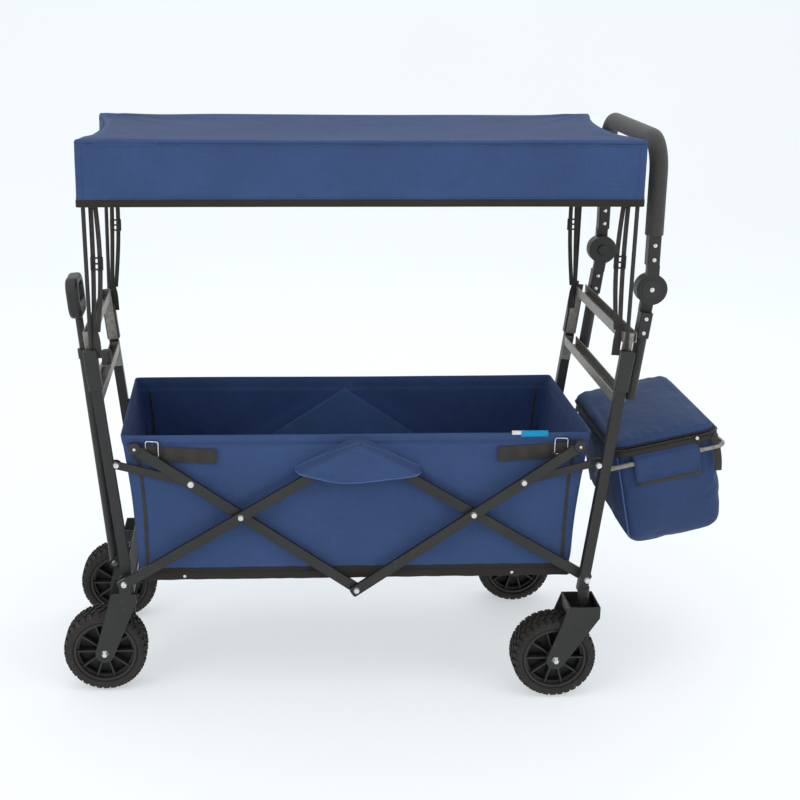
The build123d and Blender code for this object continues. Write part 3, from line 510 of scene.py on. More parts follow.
def smooth_path(points, steps=8):
    """Catmull-Rom curve through the points."""
    points = [Vector(p) for p in points]
    points = [2 * points[0] - points[1]] + points + [2 * points[-1] - points[-2]]
    path = []
    for a, b, c, d in zip(points, points[1:], points[2:], points[3:]):
        for k in range(steps):
            t = k / steps
            path.append(0.5 * (2 * b + (c - a) * t + (2 * a - 5 * b + 4 * c - d) * t * t
                               + (3 * b - a - 3 * c + d) * t ** 3))
    return path + [points[-2]]


def rounded_loop(half_x, half_y, radius, along_x, along_y, corner=5):
    """Points round a rectangle with rounded corners, each with its outward direction."""
    loop = []
    for sx, sy, start, count in ((1, 1, 0, along_x), (-1, 1, 90, along_y), (-1, -1, 180, along_x),
                                 (1, -1, 270, along_y)):
        cx, cy = sx * (half_x - radius), sy * (half_y - radius)
        for k in range(corner + 1):
            angle = math.radians(start + 90 * k / corner)
            out = Vector((math.cos(angle), math.sin(angle)))
            loop.append((Vector((cx, cy)) + out * radius, out))
        out = loop[-1][1]
        nxt = (-sx, sy) if sx == sy else (sx, -sy)
        end = Vector((nxt[0] * (half_x - radius), nxt[1] * (half_y - radius))) + out * radius
        begin = loop[-1][0]
        loop += [(begin.lerp(end, k / count), out) for k in range(1, count)]
    return loop


def loft(rings, slots, finishes, name, ends=(0, -1)):
    """A skin over rings of equal count, closed over the rings listed in ends."""
    size = len(rings[0])
    verts = [point for ring in rings for point in ring]
    faces, face_slots = [], []
    for level in range(len(rings) - 1):
        a, b = level * size, (level + 1) * size
        faces += [(a + k, a + (k + 1) % size, b + (k + 1) % size, b + k) for k in range(size)]
        face_slots += [slots[level]] * size
    for end in ends:
        start = end % len(rings) * size
        verts.append(sum((Vector(p) for p in rings[end]), Vector()) / size)
        faces += [(start + k, start + (k + 1) % size, len(verts) - 1) for k in range(size)]
        face_slots += [slots[end]] * size
    return add_mesh(name, verts, faces, finishes, face_slots)


def ripple(x, y, z, seed):
    return noise.noise(Vector((x, y, z)) + Vector((seed * 3.7, seed * 1.3, seed * 7.1)))


def stitches(shape, path, lift, pitch=0.0065, slot=0):
    """A row of stitches along a path; lift is the way out of the cloth, or a function of the point."""
    run = 0.0
    points = [Vector(p) for p in path]
    for a, b in zip(points, points[1:]):
        step = (b - a).length
        while run < step:
            start = a.lerp(b, run / step)
            along = (b - a).normalized()
            out = Vector(lift(start) if callable(lift) else lift).normalized()
            across = along.cross(out)
            tip = start + along * pitch * 0.62
            middle = (start + tip) / 2
            verts = [start, middle + across * 0.0006, middle + out * 0.0007, middle - across * 0.0006, tip]
            shape.add(verts, [(0, 1, 2), (0, 2, 3), (4, 2, 1), (4, 3, 2)], slot)
            run += pitch
        run -= step


# ---- camera and light -----------------------------------------------------------------------
yaw, pitch, roll = math.radians(2.91), math.radians(16.51), math.radians(0.40)
forward = Vector((math.sin(yaw) * math.cos(pitch), math.cos(yaw) * math.cos(pitch), -math.sin(pitch)))
level = Vector((math.cos(yaw), -math.sin(yaw), 0))
upward = level.cross(forward)
right = level * math.cos(roll) + upward * math.sin(roll)
above = upward * math.cos(roll) - level * math.sin(roll)
camera_data = bpy.data.cameras.new("camera")
camera_data.lens = 66.8
camera_data.shift_x = 0.1
camera = bpy.data.objects.new("camera", camera_data)
bpy.context.scene.collection.objects.link(camera)
turn = Matrix((right, above, -forward)).transposed().to_4x4()
camera.matrix_world = Matrix.Translation((mid_x - 0.216, -2.981, 1.442)) @ turn
bpy.context.scene.camera = camera
bpy.context.scene.view_settings.view_transform = "Standard"

world = bpy.data.worlds.new("studio")
world.use_nodes = True
world.node_tree.nodes["Background"].inputs["Color"].default_value = (0.94, 0.97, 1.0, 1)
world.node_tree.nodes["Background"].inputs["Strength"].default_value = 0.80
bpy.context.scene.world = world


def softbox(name, place, target, size, energy):
    data = bpy.data.lights.new(name, "AREA")
    data.shape = "RECTANGLE"
    data.size, data.size_y = size
    data.energy = energy
    light = bpy.data.objects.new(name, data)
    bpy.context.scene.collection.objects.link(light)
    light.location = place
    light.rotation_euler = (Vector(target) - Vector(place)).to_track_quat("-Z", "Y").to_euler()


softbox("top_light", (0.0, -0.3, 3.4), (0, 0, 0.5), (3.4, 2.6), 26)
softbox("key_light", (-2.6, -2.6, 2.4), (0, 0, 0.6), (2.2, 2.2), 30)
softbox("fill_light", (2.8, -2.2, 1.6), (0, 0, 0.5), (2.0, 2.4), 15)
softbox("back_light", (0.6, 3.4, 2.6), (0, 0, 0.7), (3.0, 1.6), 12)

backdrop = Shape()
profile = [(-7.0, 0.0)] + [(3.5 + 2.5 * math.sin(a), 2.5 - 2.5 * math.cos(a))
                           for a in [math.radians(6 * k) for k in range(16)]] + [(6.0, 9.0)]
rows = [[(x, y, z - 0.0004) for x in (-12, 12)] for y, z in profile]
backdrop.add([p for row in rows for p in row], grid_faces(1, len(rows) - 1))
backdrop.piece("floor", [studio_floor()])


# ---- tub ------------------------------------------------------------------------------------
WALL = 0.0015                          # half the thickness of the tub's cloth
along_x, along_y = 72, 34


def tub_slack(x, y, z):
    """How far the tub's wall stands in from its taut line at a point."""
    height = max(0.0, min(1.0, (z - tub_z) / (rim_z - tub_z)))
    reach = abs(x - mid_x)
    on_side = abs(y) > tub_half_y - 0.01
    belly = math.sin(math.pi * height) ** 0.8
    soft = 0.0045 * belly * (0.7 + ripple(x * 3.1 + z * 2, y, z * 3.2, 1))
    folds = ripple(x * 21 + z * 9, y * 9, z * 3.4, 2) * 0.0030 * belly
    ends = math.exp(-((rim_half - reach) / 0.08) ** 2)
    drape = ends * belly * 0.0095 * (0.55 + ripple(x * 30 + z * 6, y * 30, z * 2.4, 3))
    foot = math.exp(-((z - tub_z) / 0.035) ** 2) * 0.0040 * (0.5 + ripple(x * 38, y * 38, z * 22, 4))
    value = soft + folds + drape * (1 if on_side else 0.4) + foot
    # pressed in along the lines of the bars behind it
    near_pivot = reach / 0.2315
    if on_side and near_pivot < 1.35:
        line = top_pivot_z - 0.596 * reach + 0.008
        below = line - z
        if below > -0.012:
            edge = 1 - math.exp(-((below + 0.012) / 0.007) ** 2)
            press = 0.0055 * edge * math.exp(-max(0.0, below) / 0.075)
            value += press * max(0.0, 1 - max(0.0, near_pivot - 1) / 0.35)
    return max(0.0006, value)


def tub_ring(z, offset):
    share = max(0.0, (z - tub_z) / (rim_z - tub_z))
    flare = 0.006 * max(0.0, share) ** 3
    loop = rounded_loop(base_half + (rim_half - base_half) * share + flare - WALL, tub_half_y - WALL, 0.010,
                        along_x, along_y)
    ring = []
    for point, out in loop:
        slack = tub_slack(point.x + mid_x, point.y, z)
        place = point + out * (offset - slack)
        dip = 0.0015 * ripple(point.x * 4, point.y * 4, 0, 9) * share ** 6
        ring.append(Vector((place.x + mid_x, place.y, z + dip)))
    return ring


def floor_ring(scale, z, offset, soften):
    ring = []
    for point, out in rounded_loop(base_half - WALL, tub_half_y - WALL, 0.010, along_x, along_y):
        place = (point + out * offset) * scale
        seam = min(abs(abs(place.x) - 0.215), abs(place.x) if abs(place.x) < 0.1 else 1)
        groove = 0.0022 * math.exp(-(seam / 0.005) ** 2) * soften
        swell = 0.0012 * soften * ripple(place.x * 9, place.y * 9, 0, 11)
        ring.append(Vector((place.x + mid_x, place.y, z - groove + swell)))
    return ring


BLACK, OUTSIDE, INSIDE = 0, 1, 2
skirt_z = tub_z - 0.013
rings = [floor_ring(s / 12, tub_z - 0.001, -0.006, 0) for s in range(1, 12)]
slots = [BLACK] * 11
for z, offset in ((tub_z - 0.001, -WALL), (skirt_z + 0.001, -WALL), (skirt_z, 0.0), (skirt_z + 0.001, WALL),
                  (tub_z - 0.006, WALL), (tub_z, WALL), (tub_z + 0.003, WALL), (tub_z + 0.0035, WALL * 0.55)):
    rings.append(tub_ring(z, offset))
    slots.append(BLACK)
for k in range(1, 29):
    z = tub_z + 0.0035 + (rim_z - 0.021 - tub_z - 0.0035) * k / 28
    rings.append(tub_ring(z, WALL * 0.55))
    slots.append(OUTSIDE)
for z, offset in ((rim_z - 0.0205, WALL * 0.2), (rim_z - 0.0195, WALL), (rim_z - 0.012, WALL * 1.1),
                  (rim_z - 0.004, WALL), (rim_z - 0.0012, WALL * 0.8), (rim_z, 0),
                  (rim_z - 0.0012, -WALL * 0.8),
                  (rim_z - 0.004, -WALL), (rim_z - 0.019, -WALL), (rim_z - 0.020, -WALL * 0.5)):
    rings.append(tub_ring(z, offset))
    slots.append(OUTSIDE)
# the inside of the walls and the floor take the darker copy of the blue: painted shade
for k in range(1, 25):
    z = rim_z - 0.020 - (rim_z - 0.020 - floor_z - 0.004) * k / 24
    rings.append(tub_ring(z, -WALL * 0.7))
    slots.append(INSIDE)
for s in range(23, 0, -1):
    rings.append(floor_ring(s / 24, floor_z, -0.010, 1))
    slots.append(INSIDE)
tub = loft(rings, slots, [black_cloth, outer_cloth, tub_inside_painted_shade], "tub_fabric")


def tub_point(x, z, side, proud=0.0):
    """A point on the outer skin of the tub's long side, x from the middle."""
    slack = tub_slack(x + mid_x, side * tub_half_y, z)
    return Vector((x + mid_x, side * (tub_half_y - slack + proud - WALL * 0.45), z))


def inner_point(x, z, side, proud=0.0):
    slack = tub_slack(x + mid_x, side * tub_half_y, z)
    return Vector((x + mid_x, side * (tub_half_y - 2 * WALL - slack - proud), z))


tub_trim = Shape()       # black tape, thread stitches and hem studs on the tub
for side in SIDES:
    for end in ENDS:
        heights = [tub_z + (rim_z - 0.03 - tub_z) * k / 30 for k in range(31)]
        bow = [end * (base_half - 0.020 + 0.016 * (z - tub_z) / (rim_z - tub_z)
                      - 0.006 * math.sin(math.pi * (z - tub_z) / (rim_z - tub_z))) for z in heights]
        tub_trim.sweep([tub_point(x, z, side, 0.0004) for x, z in zip(bow, heights)], flat(0.007, 0.0012),
                       (0, side, 0))
        tub_trim.sweep([inner_point(x, z, side, 0.0006) for x, z in zip(bow, heights)], flat(0.004, 0.0012),
                       (0, -side, 0))
    for row in (rim_z - 0.0165, rim_z - 0.0145):
        xs = [-base_half + 2 * base_half * k / 120 for k in range(121)]
        stitches(tub_trim, [tub_point(x, row, side, 0.0009) for x in xs], (0, side, 0), slot=1)
    xs = [-base_half + 0.02 + 2 * (base_half - 0.02) * k / 120 for k in range(121)]
    stitches(tub_trim, [tub_point(x, tub_z + 0.0085, side, 0.0002) for x in xs], (0, side, 0),
             slot=1)
    # small studs that hold the hem to the base board
    for x in (-0.345, 0.318):
        place = tub_point(x, tub_z - 0.006, side, 0.0006)
        tub_trim.turn([(-0.001, 0.0035), (0.0004, 0.0034), (0.0009, 0.0025), (0.0011, 0.0008)], place,
                      (0, side, 0), steps=16, slot=2)
tub_trim = tub_trim.piece("tub_tape_and_stitches", [black_web, thread_blue, bright])


def centre_flap(side):
    """Cloth hood over the bars' top pivot: sewn along its two sloping sides, open below."""
    half, apex, tip, low = 0.124, rim_z - 0.006, 0.478, 0.460
    slope = (apex - tip) / half
    out_y = outer_face - 0.0078
    in_y = -(tub_half_y - 0.0004)
    columns, rows = 56, 30
    verts = []
    for r in range(rows + 1):
        for c in range(columns + 1):
            u = c / columns * 2 - 1
            x = u * half
            crown = apex - slope * math.hypot(x, 0.010) + slope * 0.010
            hem = low + (tip - low) * abs(u) ** 1.7 + 0.0016 * math.sin(u * 5)
            z = crown + (hem - crown) * (r / rows) ** 1.25
            down = (crown - z) / math.hypot(1, slope)
            lift = 1 - math.exp(-(down / 0.0062) ** 2.2)
            sag = (0.0016 * ripple(x * 26, 0, z * 22, 5)
                   + 0.0020 * math.sin(math.pi * min(1, r / rows)) * (1 - u * u))
            y = in_y + (out_y - in_y) * lift - sag * lift
            verts.append((mid_x + x, -side * y if side > 0 else y, z))
    flap = thickened(add_mesh("flap", verts, grid_faces(columns, rows), [outer_cloth]), 0.0012)
    edge = [Vector(v) for v in verts[rows * (columns + 1):]]
    crown = [Vector(v) for v in verts[4 * (columns + 1):5 * (columns + 1)]]
    return flap, edge, crown


flaps = []
flap_trim = Shape()
for side, label in zip(SIDES, ("near", "far")):
    flap, edge, crown = centre_flap(side)
    flap.name = f"pivot_flap_{label}"
    flap_trim.sweep(edge, flat(0.0032, 0.0026), (0, side, 0))
    raised = [p + Vector((0, side * 0.0006, 0)) for p in crown]
    flap_trim.sweep(raised, circle(0.0011, 6), (0, side, 0), slot=0)
    stitches(flap_trim, [p + Vector((0, side * 0.0010, 0.009)) for p in edge], (0, side, 0), slot=1)
    flaps.append(flap)
    # reinforcing patch inside the tub behind the pivot
    low, peak = 0.40, rim_z - 0.024
    verts = []
    for r in range(13):
        for c in range(41):
            u = c / 40 * 2 - 1
            crown_z = peak - (peak - low) * abs(u)
            z = crown_z + (low - 0.02 * (1 - u * u) - crown_z) * r / 12
            verts.append(inner_point(u * 0.19, z, side, 0.0012))
    patch = add_mesh(f"lining_patch_{label}", verts, grid_faces(40, 12), [patch_cloth])
    flaps.append(thickened(patch, 0.001))
flap_trim = flap_trim.piece("flap_piping", [piping_blue, thread_blue])


def side_straps():
    """Webbing with wire rings near each top corner of the tub."""
    web, rings = Shape(), Shape()
    for side in SIDES:
        for end in ENDS:
            outer, inner = end * (rim_half - 0.018), end * 0.283
            path = []
            for k in range(25):
                x = outer + (inner - outer) * k / 24
                path.append(Vector((mid_x + x, side * (tub_half_y + 0.0004 - 0.0004 * math.sin(k)),
                                    rim_z - 0.034 - 0.010 * k / 24)))
            web.sweep(path, flat(0.031, 0.0013), (0, side, 0))
            web.sweep([p + Vector((0, side * 0.0015, 0)) for p in path[9:]], flat(0.030, 0.0012),
                      (0, side, 0))
            fold = path[-1]
            web.sweep([fold + Vector((-end * dx, side * (0.0016 + dy), 0.0004))
                       for dx, dy in ((-0.002, 0), (0.001, 0.0012), (0.0035, 0.0008), (0.0045, -0.0004))],
                      flat(0.031, 0.0014), (0, side, 0))
            ring_x = end * 0.404
            centre = Vector((mid_x + ring_x, side * (tub_half_y + 0.0028), rim_z - 0.028))
            loop = []
            for point, out in rounded_loop(0.0125, 0.0165, 0.004, 3, 3, 4):
                lean = 0.0012 * math.sin(point.x * 160)
                loop.append(centre + Vector((point.x, side * lean, point.y)))
            rings.sweep(loop, circle(0.0015, 8), (0, side, 0), closed=True)
    return (web.piece("side_webbing", [black_web]), rings.piece("side_strap_rings", [bright]))


side_webbing, strap_rings = side_straps()


def rim_tags():
    """A plain coloured tag and a plain white one folded over the rim at the handle end."""
    tags = Shape()
    for x, width, drop, inner_drop, slot, lift in ((0.350, 0.054, 0.004, 0.026, 0, 0.0010),
                                                  (0.318, 0.026, 0.0, 0.034, 1, 0.0004)):
        path = [tub_point(x, rim_z - drop - 0.004, -1, 0.002 + lift),
                tub_point(x, rim_z - 0.001, -1, 0.002 + lift),
                Vector((mid_x + x, -tub_half_y + WALL, rim_z + 0.0016 + lift)),
                inner_point(x, rim_z - 0.001, -1, 0.002 + lift),
                inner_point(x, rim_z - inner_drop, -1, 0.003 + lift)]
        tags.sweep(smooth_path(path, 4), flat(width, 0.0007), (0, -1, 0), slot=slot)
    return tags.piece("rim_tags", [cyan_cloth, white_cloth])


tags = rim_tags()
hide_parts("tub_side_walls", "tub_floor", "tub_front_wall", "tub_rear_wall")
for flap in flaps:
    width = flap.dimensions.x
for obj, slot in ((tub, "fabric"), (tub_trim, "fabric"), (flap_trim, "fabric"), (side_webbing, "fabric"),
                  (strap_rings, "rivet"), (tags, "fabric"), *[(flap, "fabric") for flap in flaps]):
    on(obj, "front_frame")
    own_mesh(obj)


# ---- canopy ---------------------------------------------------------------------------------
canopy_x = (top_high.x - top_low.x) / 2 + 0.004
canopy_y = top_high.y
canopy_mid = (top_high.x + top_low.x) / 2
canopy_z, hem_z = top_high.z + 0.004, span("canopy_side_valances")[0].z


def canopy_inset(x, y, drop):
    """How far the edge is drawn in between its corners; drop is 0 at the top edge and 1 at the hem."""
    u, v = min(1, abs(x) / canopy_x), min(1, abs(y) / canopy_y)
    end_pull = 0.030 * (1 - v * v) * (1 - 0.35 * drop)
    side_pull = 0.007 * (1 - u ** 4) * (1 - 0.3 * drop)
    return end_pull, side_pull


def canopy_height(x, y):
    """Height of the cloth's top, drawn tight to the four poles."""
    u, v = abs(x) / canopy_x, abs(y) / canopy_y
    value = canopy_z - 0.0035 - 0.020 * (1 - u ** 2.2) * (1 - v ** 2) - 0.0022 * (1 - min(u, 1) ** 4)
    value -= 0.006 * (1 - v * v) * u ** 4
    for sx in (-1, 1):
        for sy in (-1, 1):
            dx, dy = canopy_x - sx * x, canopy_y - sy * y
            far = math.hypot(dx, dy)
            angle = math.atan2(dy, dx)
            rays = math.sin(angle * 13 + 2.5 * ripple(far * 6, sx, sy, 6)) * 0.0026
            value += rays * math.exp(-far / 0.16) * min(1, far / 0.05)
    value += 0.0016 * ripple(x * 5, y * 9, 0, 7)
    return value


def canopy_place(point, out, z, drop, offset):
    end_pull, side_pull = canopy_inset(point.x, point.y, drop)
    x = point.x - math.copysign(end_pull, point.x) * min(1, abs(point.x) / canopy_x) ** 6
    y = point.y - math.copysign(side_pull, point.y) * min(1, abs(point.y) / canopy_y) ** 6
    wave = 0.0016 * drop * ripple(point.x * 7, point.y * 11, z * 4, 8)
    crease = 0.0010 * ripple(point.x * 16 + z * 5, point.y * 16, z * 7, 12) * math.sin(math.pi * drop)
    proud = offset + wave + crease
    return Vector((x + canopy_mid + out.x * proud, y + out.y * proud, z))


rings, slots = [], []
edge_loop = rounded_loop(canopy_x - 0.0015, canopy_y - 0.0015, 0.007, 90, 44, 5)
hem = [(hem_z + 0.001, -0.0006, 1), (hem_z, 0.0002, 1), (hem_z + 0.001, 0.0012, 1),
       (hem_z + 0.007, 0.0013, 1), (hem_z + 0.0135, 0.0012, 1), (hem_z + 0.0142, 0.0004, 0)]
valance = [(hem_z + 0.0142 + (canopy_z - 0.010 - hem_z - 0.0142) * i / 16, 0.0, 0) for i in range(1, 17)]
for z, offset, slot in hem + valance:
    drop = (canopy_z - z) / (canopy_z - hem_z)
    rings.append([canopy_place(point, out, z, drop, offset) for point, out in edge_loop])
    slots.append(slot)
for height, inward in ((-0.0065, 0.0), (-0.0055, -0.0009), (-0.0045, 0.0002), (-0.0018, 0.0012),
                       (-0.0004, 0.0030)):
    ring = []
    for point, out in edge_loop:
        top = canopy_height(point.x, point.y)
        place = canopy_place(point, out, top + height, 0, -inward)
        ring.append(place)
    rings.append(ring)
    slots.append(0)
# the top takes the darker copy of the blue: painted shade
for k in range(1, 46):
    scale = 1 - k / 46
    ring = []
    for point, out in edge_loop:
        spot = Vector((point.x - out.x * 0.003, point.y - out.y * 0.003)) * scale
        end_pull, side_pull = canopy_inset(spot.x / scale, spot.y / scale, 0)
        reach_x, reach_y = abs(point.x) / canopy_x, abs(point.y) / canopy_y
        share_x = 1 if reach_x > 0.98 else min(1, reach_x) ** 6
        share_y = 1 if reach_y > 0.98 else min(1, reach_y) ** 6
        x = spot.x - math.copysign(end_pull, spot.x) * scale ** 3 * share_x
        y = spot.y - math.copysign(side_pull, spot.y) * scale ** 3 * share_y
        ring.append(Vector((x + canopy_mid, y, canopy_height(spot.x, spot.y))))
    rings.append(ring)
    slots.append(2)
canopy = loft(rings, slots, [outer_cloth, black_cloth, top_cloth_painted_shade], "canopy_sheet", ends=(-1,))
thickened(canopy, 0.0012, -1)


def out_of_valance(point):
    x = point.x - canopy_mid
    return (x if abs(x) > canopy_x - 0.04 else 0, point.y if abs(point.y) > canopy_y - 0.012 else 0, 0.0001)


canopy_trim = Shape()
for z, drop, lift in ((hem_z + 0.0172, 0.87, 0.0008), (canopy_z - 0.0165, 0.13, 0.0010)):
    row = [canopy_place(point, out, z, (canopy_z - z) / (canopy_z - hem_z), lift) for point, out in edge_loop]
    stitches(canopy_trim, row + row[:1], out_of_valance)
for sx in (-1, 1):
    for sy in (-1, 1):
        column = []
        for k in range(24):
            z = hem_z + 0.016 + (canopy_z - 0.018 - hem_z - 0.016) * k / 23
            drop = (canopy_z - z) / (canopy_z - hem_z)
            column.append(canopy_place(Vector((sx * (canopy_x - 0.016), sy * (canopy_y - 0.0015))),
                                       Vector((0, sy)), z, drop, 0.0009))
        stitches(canopy_trim, column, (0, sy, 0))
canopy_trim = canopy_trim.piece("canopy_stitches", [thread_blue])

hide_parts("canopy_top", "canopy_side_valances", "canopy_front_valance", "canopy_rear_valance")
for obj in (canopy, canopy_trim):
    on(obj, "front_frame")
    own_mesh(obj)

# ---- tyres ----------------------------------------------------------------------------------
TREAD_R = (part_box("front_near_tyre")[1][0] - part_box("front_near_tyre")[0][0]) / 2
PITCHES = 34
CARCASS = [(-0.030, -0.0205), (-0.0345, -0.0183), (-0.0352, -0.0168), (-0.0360, -0.0150), (-0.0360, -0.0100),
           (-0.0343, -0.0075), (-0.029, -0.0052), (-0.020, -0.0043), (0, -0.0040)]
SHOULDER_LUG = [(-5.6, 35.4), (5.4, 35.4), (5.6, 28), (2.8, 24.6),
                (4.9, 18.6), (-4.0, 16.4), (-6.0, 22), (-3.4, 27)]
SHORT_LUG = [(-5.2, 33.0), (5.8, 34.2), (5.2, 27), (3.0, 23.6),
             (4.6, 17.6), (-4.4, 16.8), (-6.0, 22), (-3.6, 26)]
CENTRE_LUG = [(-6.2, 13.4), (-0.8, 15.0), (2.2, 9.2), (5.7, 8.0),
              (5.0, 2.0), (-1.0, 3.4), (-3.4, 8.4), (-6.8, 8.8)]


def lug(shape, centre, turn, outline, flip):
    """One rubber block, from its footprint of (along the tread, across it) in millimetres."""
    size = len(outline)
    mid_s = sum(point[0] for point in outline) / size
    mid_y = sum(point[1] for point in outline) / size
    verts = []
    for scale, low, fall in ((1.0, 0.0056, 5.2), (1.0, 0.0007, 6.0), (0.90, 0.0, 6.0)):
        for along, across in outline:
            s = flip * (mid_s + (along - mid_s) * scale) / 1000
            y = flip * (mid_y + (across - mid_y) * scale) / 1000
            radius = TREAD_R - low - fall / 1000 * (max(0.0, abs(y) - 0.020) / 0.0154) ** 2
            angle = turn + s / TREAD_R
            verts.append(centre + Vector((radius * math.cos(angle), y, radius * math.sin(angle))))
    verts.append(sum(verts[2 * size:], Vector()) / size)
    faces = []
    for level in (0, size):
        faces += [(level + k, level + (k + 1) % size, level + size + (k + 1) % size, level + size + k)
                  for k in range(size)]
    faces += [(2 * size + k, 2 * size + (k + 1) % size, 3 * size) for k in range(size)]
    shape.add(verts, faces)


def tyre(label):
    low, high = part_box(f"{label}_tyre")
    centre = (Vector(low) + Vector(high)) / 2
    shape = Shape()
    profile = [(y, TREAD_R + r) for y, r in CARCASS]
    profile += [(-y, r) for y, r in reversed(profile[:-1])]
    shape.turn(profile, centre, (0, 1, 0), steps=96, hollow=True)
    for k in range(PITCHES):
        turn = math.tau * k / PITCHES
        half = math.pi / PITCHES
        lug(shape, centre, turn, SHORT_LUG if k % 2 else SHOULDER_LUG, 1)
        lug(shape, centre, turn + half, SHOULDER_LUG if k % 2 else SHORT_LUG, -1)
        lug(shape, centre, turn + half, CENTRE_LUG, 1)
        lug(shape, centre, turn, CENTRE_LUG, -1)
    tread = shape.piece(f"{label}_tread", [rubber], crisp=True)
    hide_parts(f"{label}_tyre")
    return on(tread, f"{label}_wheel")


for label in ("front_near", "front_far", "rear_near", "rear_far"):
    tyre(label)


# ---- cooler bag -----------------------------------------------------------------------------
TILT = math.radians(12)
ALONG = Vector((math.cos(TILT), 0, math.sin(TILT)))
OUTWARD = Vector((-math.sin(TILT), 0, math.cos(TILT)))
MOUTH = Vector((mid_x + 0.517, 0, 0.500))
BAG_LONG, BAG_HALF, BAG_DEEP = 0.214, 0.190, 0.224
TAPER = math.tan(math.radians(3))
ROD_Y, ROD_W = 0.197, -0.0308
LID_GAP, LID_HALF_U = 0.0015, 0.1045


def bag_point(u, y, w):
    """A point of the bag: u away from the tub, w up from its mouth."""
    return MOUTH + ALONG * u + OUTWARD * w + Vector((0, y, 0))


def bag_place(point):
    """How far a point is from the tub, and how far up from the bag's mouth."""
    local = point - MOUTH
    return local.dot(ALONG), local.dot(OUTWARD)


def puffed(obj, voxel, pressure, reach, hold):
    """The form blown up like stuffed cloth; hold(point) is 1 where it is sewn down."""
    remesh = obj.modifiers.new("remesh", "REMESH")
    remesh.mode = "VOXEL"
    remesh.voxel_size = voxel
    bake(obj)
    sewn = obj.vertex_groups.new(name="sewn")
    before = [v.co.copy() for v in obj.data.vertices]
    for v in obj.data.vertices:
        sewn.add([v.index], hold(v.co), "REPLACE")
    cloth = obj.modifiers.new("cloth", "CLOTH")
    cloth.settings.quality = 5
    cloth.settings.mass = 0.25
    cloth.settings.bending_stiffness = 1.5
    cloth.settings.use_pressure = True
    cloth.settings.uniform_pressure_force = pressure
    cloth.settings.vertex_group_mass = "sewn"
    cloth.settings.effector_weights.gravity = 0
    cloth.point_cache.frame_start = 1
    cloth.point_cache.frame_end = 20
    for step in range(1, 21):
        bpy.context.scene.frame_set(step)
    graph = bpy.context.evaluated_depsgraph_get()
    after = obj.evaluated_get(graph).data.vertices
    moved = [new.co - old for new, old in zip(after, before)]
    obj.modifiers.clear()
    for v, old, step in zip(obj.data.vertices, before, moved):
        v.co = old + step * min(1.0, reach / max(step.length, 1e-9))
    bpy.context.scene.frame_set(1)
    finer = obj.modifiers.new("finer", "SUBSURF")
    finer.levels = 1
    bake(obj)
    obj.data.shade_smooth()
    return obj


def bag_ring(w, inset, swell, radius=0.020):
    """A ring round the bag at a depth, its sides swelling between the corner seams."""
    share = TAPER * -w
    half_u, half_y = BAG_LONG / 2 - share / 2 - inset, BAG_HALF - share - inset
    ring = []
    for point, out in rounded_loop(half_u, half_y, radius, 26, 40):
        round_u = 1 - (point.x / half_u) ** 2
        round_y = 1 - (point.y / half_y) ** 2
        bulge = swell * (round_y if abs(out.x) > 0.7 else round_u) * min(1.0, -w / 0.04)
        crease = 0.0022 * ripple(point.x * 16, point.y * 16, w * 26, 6) * min(1.0, -w / 0.02)
        place = point + out * (bulge + crease)
        ring.append(bag_point(BAG_LONG / 2 - share * 0.4 + place.x, place.y, w))
    return ring


def bag_body():
    rings = [bag_ring(-BAG_DEEP + 0.004, 0.060, 0.0), bag_ring(-BAG_DEEP + 0.002, 0.035, 0.0),
             bag_ring(-BAG_DEEP + 0.006, 0.016, 0.0), bag_ring(-BAG_DEEP + 0.016, 0.007, 0.001)]
    rings += [bag_ring(-BAG_DEEP + 0.030 + (BAG_DEEP - 0.034) * k / 22, 0.003, 0.003) for k in range(23)]
    rings += [bag_ring(-0.0012, 0.002, 0), bag_ring(-0.0006, 0.005, 0), bag_ring(-0.0012, 0.011, 0, 0.014)]
    rings += [bag_ring(-0.004 - (BAG_DEEP - 0.022) * k / 12, 0.013, -0.001, 0.014) for k in range(13)]
    rings += [bag_ring(-BAG_DEEP + 0.017, 0.030, 0), bag_ring(-BAG_DEEP + 0.016, 0.060, 0)]
    body = loft(rings, [0] * len(rings), [bag_cloth, silver_lining], "cooler_bag")

    def hold(point):
        u, w = bag_place(point)
        side = abs(abs(point.y) - (BAG_HALF - TAPER * -w))
        end = min(abs(u), abs(u - BAG_LONG))
        seam = math.exp(-((side + end) / 0.016) ** 2)
        mouth = math.exp(-(w / 0.014) ** 2)
        return min(1.0, seam + mouth)

    puffed(body, 0.0055, 4.0, 0.006, hold)
    middle = bag_point(BAG_LONG / 2, 0, -0.10)
    for face in body.data.polygons:
        u, w = bag_place(face.center)
        deep_in = (0.008 < u < BAG_LONG - 0.010 and 0.015 - BAG_DEEP < w < -0.003
                   and abs(face.center.y) < BAG_HALF - 0.008 - TAPER * -w)
        face.material_index = int(deep_in and face.normal.dot(middle - face.center) > 0)
    return body


